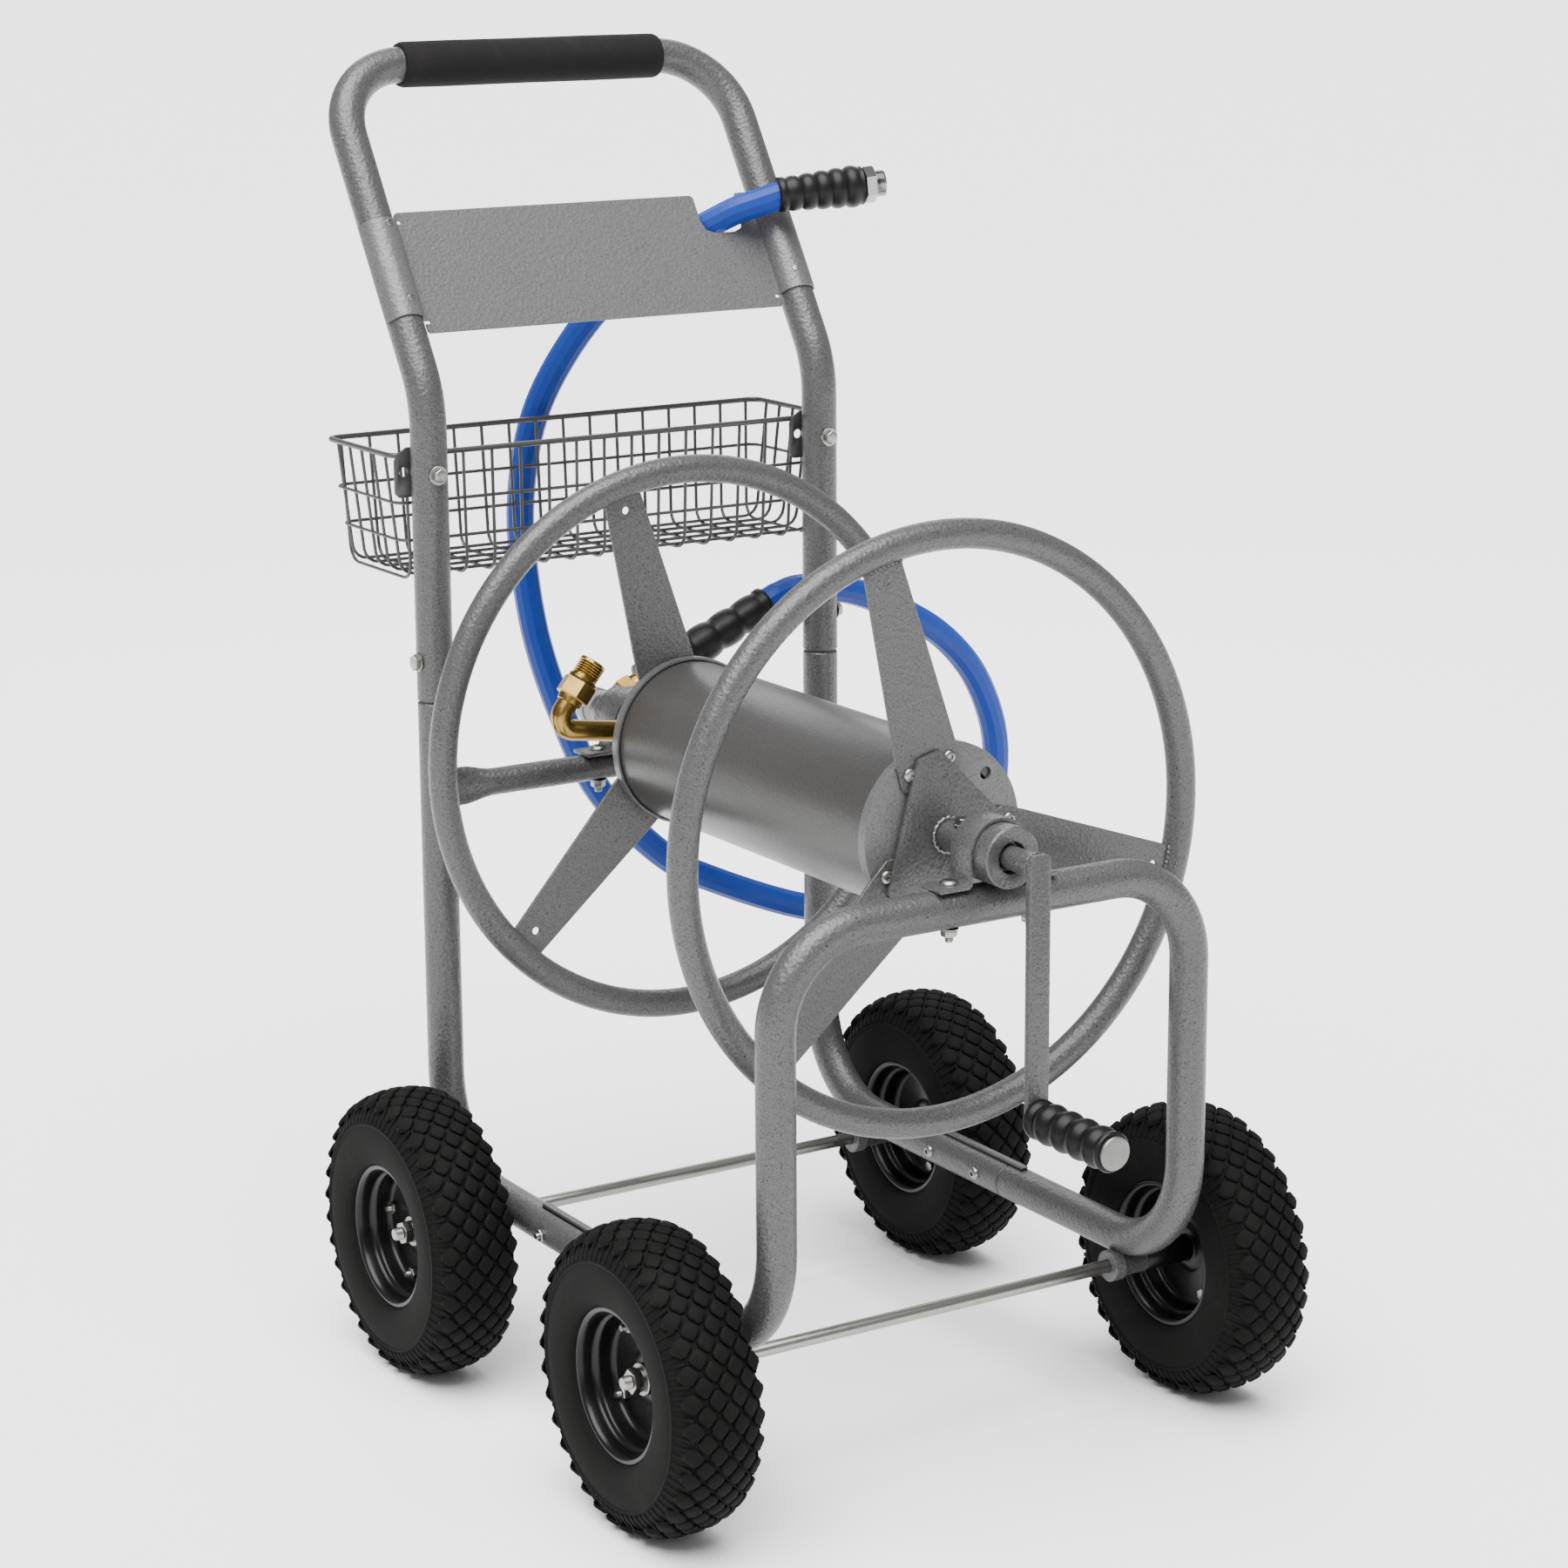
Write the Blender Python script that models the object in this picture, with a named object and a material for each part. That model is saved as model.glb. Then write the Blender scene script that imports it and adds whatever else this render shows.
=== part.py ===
"""Garden hose reel cart: tube frame, four wheels, reel with crank, basket and leader hose.

Metres, +Z up, the front at -Y. Everything is placed from the middle between the two axles;
the cart empty then shifts it so that the part's origin is the middle of its base.
"""
import math

import bmesh
import bpy
from mathutils import Vector

# Clearance between two touching pieces, and how far a cutter runs past what it cuts.
GAP = 0.0003
PAST = 0.004

# Main heights and radii that others are measured from
TYRE_RADIUS = 0.130
AXLE_HEIGHT = TYRE_RADIUS
AXLE_RADIUS = 0.006
STUB_RADIUS = 0.013
RING_RADIUS = STUB_RADIUS + 0.013
HANDLE_HEIGHT = 1.151
HANDLE_BEND_HEIGHT = HANDLE_HEIGHT - 0.281
REEL_SHARE = 0.552 / 0.870
REEL_HEIGHT = HANDLE_BEND_HEIGHT * REEL_SHARE

# Frame tube
TUBE_RADIUS = 0.0165
TUBE_WALL = 0.002
HALF_TRACK = 0.206
LEG_REACH = 0.288
RAIL_HEIGHT = AXLE_HEIGHT + AXLE_RADIUS + 0.001 + TUBE_RADIUS
LOW_BEND = 0.095
FRONT_BAR_HEIGHT = REEL_HEIGHT - RING_RADIUS - 0.0005 - TUBE_RADIUS
FRONT_BEND = 0.08
SEAM_HEIGHT = HANDLE_BEND_HEIGHT - 0.274
SEAM_REACH = -0.033
SPIGOT_LENGTH = 0.05
RAIL_SPIGOT_LENGTH = 0.118
SPIGOT_WALL = 0.002
SHOULDER = 0.0006

# Handle
HANDLE_TILT = math.radians(32.54)
HANDLE_BEND = 0.10
HANDLE_CORNER = 0.072
GRIP_RADIUS = TUBE_RADIUS + 0.004
GRIP_HALF_LENGTH = 0.136

# Notched plate on the handle
PLATE_SHEET = 0.002
PLATE_LOW = 0.0617
PLATE_HIGH = 0.1827
PLATE_HALF_WIDTH = HALF_TRACK - TUBE_RADIUS - 0.0025
WRAP_LOW = 0.074
WRAP_HIGH = 0.171
NOTCH_LEFT = 0.127
NOTCH_RIGHT = 0.172
NOTCH_FLOOR = 0.1423

# Leg bolts at the handle seam
LEG_BOLT_HEIGHT = SEAM_HEIGHT + 0.037
LEG_BOLT_RADIUS = 0.004
LEG_BOLT_HEAD_RADIUS = 0.0085
LEG_BOLT_HEAD_HEIGHT = 0.005

# Rear cross tube
CROSS_RADIUS = 0.0125
CROSS_WALL = 0.0016
CROSS_HEIGHT = REEL_HEIGHT - RING_RADIUS - GAP - CROSS_RADIUS
CROSS_FLAT_START = HALF_TRACK - TUBE_RADIUS - 0.0395
CROSS_FLAT_END = HALF_TRACK - TUBE_RADIUS - 0.0075
CROSS_FLAT_WIDE = 1.44
CROSS_FLAT_THIN = 0.50

# Basket
BASKET_TOP = HANDLE_BEND_HEIGHT - 0.0525
BASKET_FLOOR = BASKET_TOP - 0.1155
BASKET_TOP_HALF_WIDTH = HALF_TRACK + 0.026
BASKET_FLOOR_HALF_WIDTH = HALF_TRACK + 0.012
BASKET_FRONT_STANDOFF = TUBE_RADIUS + 0.002
BASKET_TOP_DEPTH = 0.1375
BASKET_FLOOR_FRONT_STANDOFF = TUBE_RADIUS + 0.007
BASKET_FLOOR_DEPTH = 0.1245
BASKET_SHEET = 0.0012
EAR_SHEET = 0.003
EAR_WIDTH = 0.044
EAR_LOW = BASKET_TOP - 0.0375
EAR_HIGH = BASKET_TOP + 0.0075
BASKET_BOLT_HEIGHT = BASKET_TOP - 0.0145
BASKET_BOLT_RADIUS = 0.004
BASKET_BOLT_FLANGE_RADIUS = 0.00775
BASKET_BOLT_FLANGE = 0.0025
BASKET_BOLT_HEAD_RADIUS = 0.0045
BASKET_BOLT_HEAD = 0.0045
BASKET_NUT_RADIUS = 0.0068
BASKET_NUT = 0.005

# Axles and wheels
AXLE_REACH = LEG_REACH - 0.0814
TYRE_HALF_WIDTH = 0.041
TYRE_WALL = 0.006
RIM_FLANGE_RADIUS = 0.0640
BEAD_RADIUS = RIM_FLANGE_RADIUS - 0.0035
RIM_DISC_RADIUS = RIM_FLANGE_RADIUS - 0.0110
RIM_HALF_WIDTH = TYRE_HALF_WIDTH - 0.010
RIM_SHEET = 0.0020
HUB_RADIUS = 0.011
HUB_OUT = 0.0063
SLEEVE_RADIUS = 0.0116
SLEEVE_COLLAR_RADIUS = 0.0140
SLEEVE_COLLAR_LENGTH = 0.012
SLEEVE_IN = HALF_TRACK - TUBE_RADIUS - 0.0035
SLEEVE_OUT = HALF_TRACK + TUBE_RADIUS + 0.001
WHEEL_TRACK = SLEEVE_OUT + GAP + 0.0546
AXLE_HALF_LENGTH = WHEEL_TRACK + 0.0256
WASHER_RADIUS = 0.014
WASHER = 0.002
AXLE_NUT_RADIUS = 0.0105
AXLE_NUT = 0.010

# Reel
RIM_RADIUS = 0.2485
RIM_TUBE_RADIUS = 0.0127
RIM_TUBE_WALL = 0.0018
RIM_FRONT = -LEG_REACH + 0.069
RIM_REAR = LEG_REACH - 0.094
PLATE_FRONT = -LEG_REACH + 0.0675
PLATE_REAR = LEG_REACH - 0.0925
END_SHEET = 0.0025
END_RADIUS = 0.077
END_LIP = 0.010
END_BORE = STUB_RADIUS + 0.0015
END_HOLE_RADIUS = 0.0055
END_HOLE_REACH = 0.060
END_HOLE_ANGLE = math.radians(46.5)
DRUM_RADIUS = 0.0735
DRUM_WALL = 0.0018
SPOKE_SHEET = 0.003
SPOKE_ANGLES = [math.radians(105), math.radians(-15), math.radians(-135)]
SPOKE_INNER = 0.040
SPOKE_WIDE_REACH = 0.075
SPOKE_HALF_WIDE = 0.030
SPOKE_HALF_NARROW = 0.018
SPOKE_HOLE_RADIUS = 0.0035
SPOKE_HOLE_INSET = 0.025
HUB_SHEET = 0.004
HUB_INRADIUS = 0.046
HUB_CORNER = 0.073
STUB_END_FRONT = -LEG_REACH - 0.024
STUB_END_REAR = LEG_REACH + 0.037
STUB_BOLT_REACH = -LEG_REACH + 0.038
STUB_BOLT_RADIUS = 0.003
STUB_BOLT_HEAD_RADIUS = 0.0065
STUB_BOLT_HEAD = 0.005

# Bearings
RING_INSET = 0.020
RING_OUTSET = 0.032
STRAP_SHEET = 0.0035
STRAP_WIDTH = 0.028
STRAP_REACH = RING_RADIUS + 0.032
STRAP_BOLT_REACH = RING_RADIUS + 0.014
STRAP_BOLT_RADIUS = 0.004
STRAP_HEAD_RADIUS = 0.0075
STRAP_HEAD = 0.0055
STRAP_NUT = 0.0065

# Crank
CRANK_ROD_RADIUS = STUB_RADIUS - 0.003
CRANK_ROD_INNER = -LEG_REACH + 0.052
CRANK_ARM_REACH = 0.209
CRANK_ARM_BACK = -LEG_REACH - 0.064
CRANK_ARM_SHEET = 0.006
CRANK_ARM_HALF_WIDTH = 0.0105
CRANK_PIN_RADIUS = 0.005
CRANK_CAP_RADIUS = 0.014
CRANK_CAP = 0.0035
CRANK_GRIP_RADIUS = 0.0175
CRANK_GRIP_WAIST = 0.0160
CRANK_GRIP_LENGTH = 0.1004
CRANK_NUT_RADIUS = 0.008
CRANK_NUT = 0.006

# Outlet elbow on the rear stub
ELBOW_REACH = LEG_REACH - 0.058
ELBOW_PIPE_RADIUS = 0.00975
ELBOW_PIPE_WALL = 0.0025
ELBOW_CORNER_X = -0.120
ELBOW_CORNER_RISE = 0.017
ELBOW_OUT_ANGLE = math.radians(51.5)
ELBOW_OUT_LENGTH = 0.0730
ELBOW_BEND = 0.012
ELBOW_NUT_START = 0.034
ELBOW_NUT_END = 0.052
ELBOW_NUT_RADIUS = 0.0165
ELBOW_THREAD_RADIUS = 0.013

# Swivel and inlet
SWIVEL_RADIUS = 0.018
SWIVEL_LENGTH = 0.047
SWIVEL_BOSS_RADIUS = 0.012
SWIVEL_BOSS_REACH = 0.0235
INLET_REACH = LEG_REACH + 0.062
INLET_ANGLE = math.radians(24)
INLET_NUT_RADIUS = 0.0155
INLET_NUT_LENGTH = 0.025
INLET_SLEEVE_LENGTH = 0.152
INLET_SLEEVE_RADIUS = 0.0160

# Leader hose: where it runs, from the inlet sleeve round behind the reel and up to the notched plate
HOSE_RADIUS = 0.0135
HOSE_SPACING = 0.050
HOSE_STRAIGHT = 0.012
HOSE_ROUTE = [
    (0.2240, 0.3500, 0.6446),
    (0.2800, 0.3510, 0.6356),
    (0.3370, 0.3530, 0.6117),
    (0.3960, 0.3550, 0.5749),
    (0.4410, 0.3580, 0.5218),
    (0.4650, 0.3620, 0.4503),
    (0.4545, 0.3680, 0.3681),
    (0.4065, 0.3760, 0.3136),
    (0.3265, 0.3840, 0.2964),
    (0.2480, 0.3920, 0.3109),
    (0.1515, 0.4000, 0.3505),
    (0.0956, 0.4070, 0.3838),
    (0.0330, 0.4150, 0.4522),
    (0.0030, 0.4270, 0.5230),
    (-0.0155, 0.4450, 0.5991),
    (-0.0172, 0.4670, 0.6726),
    (-0.0150, 0.4750, 0.7348),
    (-0.0017, 0.4750, 0.8052),
    (0.0215, 0.4630, 0.8634),
    (0.0585, 0.4420, 0.9210),
    (0.1090, 0.4110, 0.9699),
    (0.1540, 0.3680, 1.0060),
    (0.1790, 0.3500, 1.0177),
]
HOSE_END = (0.2100, 0.3330, 1.0265)
OUTLET_SLEEVE_END = (0.2710, 0.3120, 1.0320)
OUTLET_SLEEVE_RADIUS = 0.0155
FITTING_LENGTH = 0.0205
FITTING_HEX_RADIUS = 0.0160
FITTING_THREAD_RADIUS = 0.0125

# Sides of round pieces, and steps in a bend
TUBE_SIDES = 12
BEND_STEPS = 4
WHEEL_SIDES = 24
RIM_SIDES = 16
RING_STEPS = 32

# Looks: colour, roughness, metallic
HAMMERED = ((0.50, 0.51, 0.52), 0.42, 0.65)
DARK_PAINT = ((0.015, 0.015, 0.016), 0.25, 0.0)
RUBBER = ((0.02, 0.02, 0.02), 0.75, 0.0)
TYRE_RUBBER = ((0.03, 0.03, 0.03), 0.85, 0.0)
FOAM = ((0.012, 0.012, 0.012), 0.9, 0.0)
ZINC = ((0.68, 0.68, 0.66), 0.32, 1.0)
BRASS = ((0.78, 0.56, 0.24), 0.25, 1.0)
WIRE = ((0.10, 0.10, 0.11), 0.45, 0.3)
HOSE_BLUE = ((0.01, 0.06, 0.42), 0.35, 0.0)

TILT_UP = math.pi / 2 - HANDLE_TILT
HANDLE_TOP_REACH = LEG_REACH + (HANDLE_HEIGHT - HANDLE_BEND_HEIGHT) * math.tan(HANDLE_TILT)
CRANK_FRONT = CRANK_ARM_BACK - CRANK_ARM_SHEET - CRANK_GRIP_LENGTH - 2 * GAP - CRANK_CAP
BORE_RADIUS = TUBE_RADIUS - TUBE_WALL
RING_TOP_FRONT = FRONT_BAR_HEIGHT + TUBE_RADIUS
RING_TOP_REAR = CROSS_HEIGHT + CROSS_RADIUS


def clearRadius(radius, sides=TUBE_SIDES):
    """Radius of a faceted hole whose flats keep the gap to a round of this radius."""
    return (radius + GAP) / math.cos(math.pi / sides)


def clearScene():
    for old in list(bpy.data.objects):
        bpy.data.objects.remove(old)


def makeLook(name, look):
    colour, roughness, metallic = look
    material = bpy.data.materials.new(name)
    material.use_nodes = True
    shader = material.node_tree.nodes["Principled BSDF"]
    shader.inputs["Base Color"].default_value = (*colour, 1)
    shader.inputs["Roughness"].default_value = roughness
    shader.inputs["Metallic"].default_value = metallic
    material.diffuse_color = (*colour, 1)
    return material


def addEmpty(name, parent, place=(0, 0, 0)):
    empty = bpy.data.objects.new(name, None)
    bpy.context.scene.collection.objects.link(empty)
    empty.parent = parent
    empty.location = place
    return empty


def addMesh(name, mesh, look, parent, place=(0, 0, 0), turn=(0, 0, 0)):
    piece = bpy.data.objects.new(name, mesh)
    bpy.context.scene.collection.objects.link(piece)
    piece.parent = parent
    piece.location = place
    piece.rotation_euler = turn
    if look:
        mesh.materials.clear()
        mesh.materials.append(makeLook(name, look))
    bpy.context.view_layer.update()
    return piece


def finishMesh(shape, name):
    bmesh.ops.remove_doubles(shape, verts=shape.verts, dist=0.000001)
    bmesh.ops.recalc_face_normals(shape, faces=shape.faces)
    mesh = bpy.data.meshes.new(name)
    shape.to_mesh(mesh)
    shape.free()
    mesh.shade_smooth()
    mesh.set_sharp_from_angle(angle=math.radians(40))
    return mesh


def turned(name, outline, sides=TUBE_SIDES):
    """Mesh of an outline of (radius, height) points turned round Z."""
    shape = bmesh.new()
    points = [shape.verts.new((radius, 0, height)) for radius, height in outline]
    edges = []
    for first, second in zip(points, points[1:] + points[:1]):
        if first.co.x > 0 or second.co.x > 0:
            edges.append(shape.edges.new((first, second)))
    bmesh.ops.spin(
        shape, geom=points + edges, cent=(0, 0, 0), axis=(0, 0, 1),
        angle=2 * math.pi, steps=sides, use_merge=True,
    )
    bmesh.ops.remove_doubles(shape, verts=shape.verts, dist=0.000001)
    bmesh.ops.dissolve_degenerate(shape, dist=0.000001, edges=shape.edges)
    return finishMesh(shape, name)


def prism(name, outline, low, high, axes="XZ"):
    """Mesh of a flat outline in the XZ, YZ or XY plane, extruded along the third axis."""
    spread = {"XZ": (0, 2, 1), "YZ": (1, 2, 0), "XY": (0, 1, 2)}[axes]
    shape = bmesh.new()
    corners = []
    for first, second in outline:
        place = [0, 0, 0]
        place[spread[0]] = first
        place[spread[1]] = second
        place[spread[2]] = low
        corners.append(shape.verts.new(place))
    face = shape.faces.new(corners)
    raised = bmesh.ops.extrude_face_region(shape, geom=[face])["geom"]
    shift = [0, 0, 0]
    shift[spread[2]] = high - low
    moved = [item for item in raised if isinstance(item, bmesh.types.BMVert)]
    bmesh.ops.translate(shape, verts=moved, vec=shift)
    return finishMesh(shape, name)


def skin(path, radii, sides=TUBE_SIDES):
    """Open round skin along a path, with a radius at each point, as a mesh."""
    curve = bpy.data.curves.new("skin", "CURVE")
    curve.dimensions = "3D"
    curve.bevel_depth = 1
    curve.bevel_resolution = (sides - 4) // 2
    spline = curve.splines.new("POLY")
    spline.points.add(len(path) - 1)
    for point, place, radius in zip(spline.points, path, radii):
        point.co = (*place, 1)
        point.radius = radius
    guide = bpy.data.objects.new("skin", curve)
    bpy.context.scene.collection.objects.link(guide)
    bpy.context.view_layer.update()
    seen = guide.evaluated_get(bpy.context.evaluated_depsgraph_get())
    mesh = bpy.data.meshes.new_from_object(seen)
    bpy.data.objects.remove(guide)
    return mesh


def pipe(name, outside, inside, sides=TUBE_SIDES):
    """Mesh of a hollow tube: each of its two skins is a path and the radii along it."""
    shape = bmesh.new()
    shape.from_mesh(skin(*inside, sides))
    bmesh.ops.reverse_faces(shape, faces=shape.faces)
    shape.from_mesh(skin(*outside, sides))
    bmesh.ops.remove_doubles(shape, verts=shape.verts, dist=0.000001)
    rims = [edge for edge in shape.edges if len(edge.link_faces) == 1]
    start = Vector(outside[0][0])
    end = Vector(outside[0][-1])
    near = [edge for edge in rims if (edge.verts[0].co - start).length < (edge.verts[0].co - end).length]
    far = [edge for edge in rims if edge not in near]
    bmesh.ops.bridge_loops(shape, edges=near)
    bmesh.ops.bridge_loops(shape, edges=far)
    return finishMesh(shape, name)


def combine(piece, tool, operation):
    """Cut the tool from the piece or join it on, and remove the tool."""
    modifier = piece.modifiers.new("combine", "BOOLEAN")
    modifier.operation = operation
    modifier.solver = "EXACT"
    modifier.object = tool
    bpy.context.view_layer.update()
    seen = piece.evaluated_get(bpy.context.evaluated_depsgraph_get())
    mesh = bpy.data.meshes.new_from_object(seen)
    piece.modifiers.clear()
    piece.data = mesh
    bpy.data.objects.remove(tool)
    mesh.set_sharp_from_angle(angle=math.radians(40))


def cut(piece, tool):
    combine(piece, tool, "DIFFERENCE")


def join(piece, tool):
    combine(piece, tool, "UNION")


def rodTool(radius, low, high, axis, centre, parent, sides=TUBE_SIDES):
    """Round rod from low to high along an axis through centre, to cut or join with."""
    mesh = turned("tool", [(0, low), (radius, low), (radius, high), (0, high)], sides)
    turns = {"X": (0, math.pi / 2, 0), "Y": (-math.pi / 2, 0, 0), "Z": (0, 0, 0)}
    return addMesh("tool", mesh, None, parent, centre, turns[axis])


def rounded(corners, bends, steps=BEND_STEPS):
    """Path through the corners with the inner ones rounded to the bend radii."""
    path = [Vector(corners[0])]
    for before, corner, after, bend in zip(corners, corners[1:], corners[2:], bends):
        back = (Vector(before) - Vector(corner)).normalized()
        ahead = (Vector(after) - Vector(corner)).normalized()
        half = back.angle(ahead) / 2
        centre = Vector(corner) + (back + ahead).normalized() * bend / math.sin(half)
        first = Vector(corner) + back * bend / math.tan(half) - centre
        last = Vector(corner) + ahead * bend / math.tan(half) - centre
        for step in range(steps + 1):
            path.append(centre + first.slerp(last, step / steps).normalized() * bend)
    return path + [Vector(corners[-1])]


def hollow(piece, wall):
    """Give a tube's open skin its wall, inward."""
    modifier = piece.modifiers.new("wall", "SOLIDIFY")
    modifier.thickness = wall
    modifier.offset = -1
    modifier.use_even_offset = True
    seen = piece.evaluated_get(bpy.context.evaluated_depsgraph_get())
    mesh = bpy.data.meshes.new_from_object(seen)
    piece.modifiers.clear()
    piece.data = mesh
    mesh.set_sharp_from_angle(angle=math.radians(40))


def frameTube(name, path, parent):
    outside = (path, [TUBE_RADIUS] * len(path))
    inside = (path, [BORE_RADIUS] * len(path))
    return addMesh(name, pipe(name, outside, inside), HAMMERED, parent)


def spigotRadius():
    """Outer radius of a swaged end, which clears the facets of the tube around it."""
    return BORE_RADIUS * math.cos(math.pi / TUBE_SIDES) - GAP


def makeHandle(cart):
    side = HALF_TRACK
    top = HANDLE_TOP_REACH
    corners = [
        (-side, LEG_REACH, SEAM_HEIGHT + GAP),
        (-side, LEG_REACH, HANDLE_BEND_HEIGHT),
        (-side, top, HANDLE_HEIGHT),
        (side, top, HANDLE_HEIGHT),
        (side, LEG_REACH, HANDLE_BEND_HEIGHT),
        (side, LEG_REACH, SEAM_HEIGHT + GAP),
    ]
    path = rounded(corners, [HANDLE_BEND, HANDLE_CORNER, HANDLE_CORNER, HANDLE_BEND])
    frame = frameTube("handle_frame", path, cart)
    for place in (-side, side):
        cut(frame, rodTool(
            clearRadius(LEG_BOLT_RADIUS, 8), -0.03, 0.03, "X", (place, LEG_REACH, LEG_BOLT_HEIGHT), cart, 8))
        cut(frame, rodTool(
            clearRadius(BASKET_BOLT_RADIUS, 8), -0.03, 0.03, "Y", (place, LEG_REACH, BASKET_BOLT_HEIGHT), cart, 8))

    grip = turned("handle_grip", [
        (clearRadius(TUBE_RADIUS), -GRIP_HALF_LENGTH),
        (GRIP_RADIUS, -GRIP_HALF_LENGTH),
        (GRIP_RADIUS, GRIP_HALF_LENGTH),
        (clearRadius(TUBE_RADIUS), GRIP_HALF_LENGTH),
    ])
    addMesh("handle_grip", grip, FOAM, cart, (0, top, HANDLE_HEIGHT), (0, math.pi / 2, 0))


def makePlate(cart):
    place = (0, LEG_REACH, HANDLE_BEND_HEIGHT)
    turn = (TILT_UP, 0, 0)
    inner = clearRadius(TUBE_RADIUS)
    outer = inner + PLATE_SHEET
    half = HALF_TRACK - (inner + outer) / 2
    edge = min(half, PLATE_HALF_WIDTH)
    outline = [
        (-edge, PLATE_LOW),
        (edge, PLATE_LOW),
        (edge, WRAP_LOW - 0.003),
        (edge - 0.006, WRAP_LOW - 0.003),
        (edge - 0.006, WRAP_LOW),
        (half, WRAP_LOW),
        (half, WRAP_HIGH),
        (edge - 0.006, WRAP_HIGH),
        (edge - 0.006, WRAP_HIGH + 0.003),
        (edge, WRAP_HIGH + 0.003),
        (edge, PLATE_HIGH - 0.003),
        (edge - 0.003, PLATE_HIGH),
        (NOTCH_RIGHT, PLATE_HIGH),
        (NOTCH_RIGHT, NOTCH_FLOOR + 0.005),
        (NOTCH_RIGHT - 0.005, NOTCH_FLOOR),
        (NOTCH_LEFT + 0.005, NOTCH_FLOOR),
        (NOTCH_LEFT, NOTCH_FLOOR + 0.005),
        (NOTCH_LEFT, PLATE_HIGH),
        (-edge, PLATE_HIGH),
        (-edge, WRAP_HIGH + 0.003),
        (-edge + 0.006, WRAP_HIGH + 0.003),
        (-edge + 0.006, WRAP_HIGH),
        (-half, WRAP_HIGH),
        (-half, WRAP_LOW),
        (-edge + 0.006, WRAP_LOW),
        (-edge + 0.006, WRAP_LOW - 0.003),
        (-edge, WRAP_LOW - 0.003),
    ]
    plate = addMesh("hose_plate", prism("hose_plate", outline, 0, PLATE_SHEET, "XY"), HAMMERED, cart, place, turn)
    for side in (-1, 1):
        band = []
        for step in range(9):
            angle = math.pi * step / 8
            band.append((side * HALF_TRACK - side * outer * math.cos(angle), outer * math.sin(angle)))
        for step in range(8, -1, -1):
            angle = math.pi * step / 8
            band.append((side * HALF_TRACK - side * inner * math.cos(angle), inner * math.sin(angle)))
        wrap = prism("tool", band, WRAP_LOW, WRAP_HIGH, "XZ")
        join(plate, addMesh("tool", wrap, None, cart, place, turn))


def makeRearFrame(cart):
    for side, word in ((-1, "left"), (1, "right")):
        skins = []
        for back, big, small in (
            (0, TUBE_RADIUS, spigotRadius()),
            (TUBE_WALL, BORE_RADIUS, spigotRadius() - SPIGOT_WALL),
        ):
            path = rounded([
                (side * HALF_TRACK, SEAM_REACH, RAIL_HEIGHT),
                (side * HALF_TRACK, LEG_REACH, RAIL_HEIGHT),
                (side * HALF_TRACK, LEG_REACH, SEAM_HEIGHT - SHOULDER - back),
            ], [LOW_BEND])
            radii = [big] * len(path) + [small, small]
            path.append(Vector((side * HALF_TRACK, LEG_REACH, SEAM_HEIGHT - back)))
            path.append(Vector((side * HALF_TRACK, LEG_REACH, SEAM_HEIGHT + SPIGOT_LENGTH)))
            skins.append((path, radii))
        name = "rear_leg_" + word
        leg = addMesh(name, pipe(name, *skins), HAMMERED, cart)
        cut(leg, rodTool(
            clearRadius(LEG_BOLT_RADIUS, 8), -0.03, 0.03, "X",
            (side * HALF_TRACK, LEG_REACH, LEG_BOLT_HEIGHT), cart, 8))
        reach = TUBE_RADIUS + GAP
        bolt = turned("leg_bolt_" + word, [
            (0, -reach - 0.004),
            (LEG_BOLT_HEAD_RADIUS, -reach - 0.004),
            (LEG_BOLT_HEAD_RADIUS, -reach),
            (LEG_BOLT_RADIUS, -reach),
            (LEG_BOLT_RADIUS, reach),
            (LEG_BOLT_HEAD_RADIUS, reach),
            (LEG_BOLT_HEAD_RADIUS * 0.8, reach + LEG_BOLT_HEAD_HEIGHT * 0.8),
            (LEG_BOLT_HEAD_RADIUS * 0.4, reach + LEG_BOLT_HEAD_HEIGHT),
            (0, reach + LEG_BOLT_HEAD_HEIGHT),
        ], 8)
        place = (side * HALF_TRACK, LEG_REACH, LEG_BOLT_HEIGHT)
        addMesh("leg_bolt_" + word, bolt, ZINC, cart, place, (0, side * math.pi / 2, 0))

    ends = HALF_TRACK
    stations = [-ends, -CROSS_FLAT_END, -CROSS_FLAT_START, CROSS_FLAT_START, CROSS_FLAT_END, ends]
    outline = [(CROSS_RADIUS, station) for station in stations]
    outline += [(CROSS_RADIUS - CROSS_WALL, station) for station in reversed(stations)]
    mesh = turned("rear_cross_tube", outline)
    for vertex in mesh.vertices:
        if abs(vertex.co.z) > CROSS_FLAT_START + GAP:
            vertex.co.x *= CROSS_FLAT_WIDE
            vertex.co.y *= CROSS_FLAT_THIN
    tube = addMesh(
        "rear_cross_tube", mesh, HAMMERED, cart, (0, LEG_REACH, CROSS_HEIGHT), (0, math.pi / 2, 0))
    for side in (-1, 1):
        cut(tube, rodTool(
            clearRadius(TUBE_RADIUS), -0.05, 0.05, "Z", (side * HALF_TRACK, LEG_REACH, CROSS_HEIGHT), cart))
        cut(tube, addMesh("tool", prism("tool", [
            (HALF_TRACK * side, -0.05), (HALF_TRACK * side * 1.3, -0.05),
            (HALF_TRACK * side * 1.3, 0.05), (HALF_TRACK * side, 0.05),
        ], -0.05, 0.05), None, cart, (0, LEG_REACH, CROSS_HEIGHT)))
        cut(tube, rodTool(
            clearRadius(STRAP_BOLT_RADIUS, 6), -0.03, 0.03, "Z",
            (side * STRAP_BOLT_REACH, LEG_REACH, CROSS_HEIGHT), cart, 6))


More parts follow.
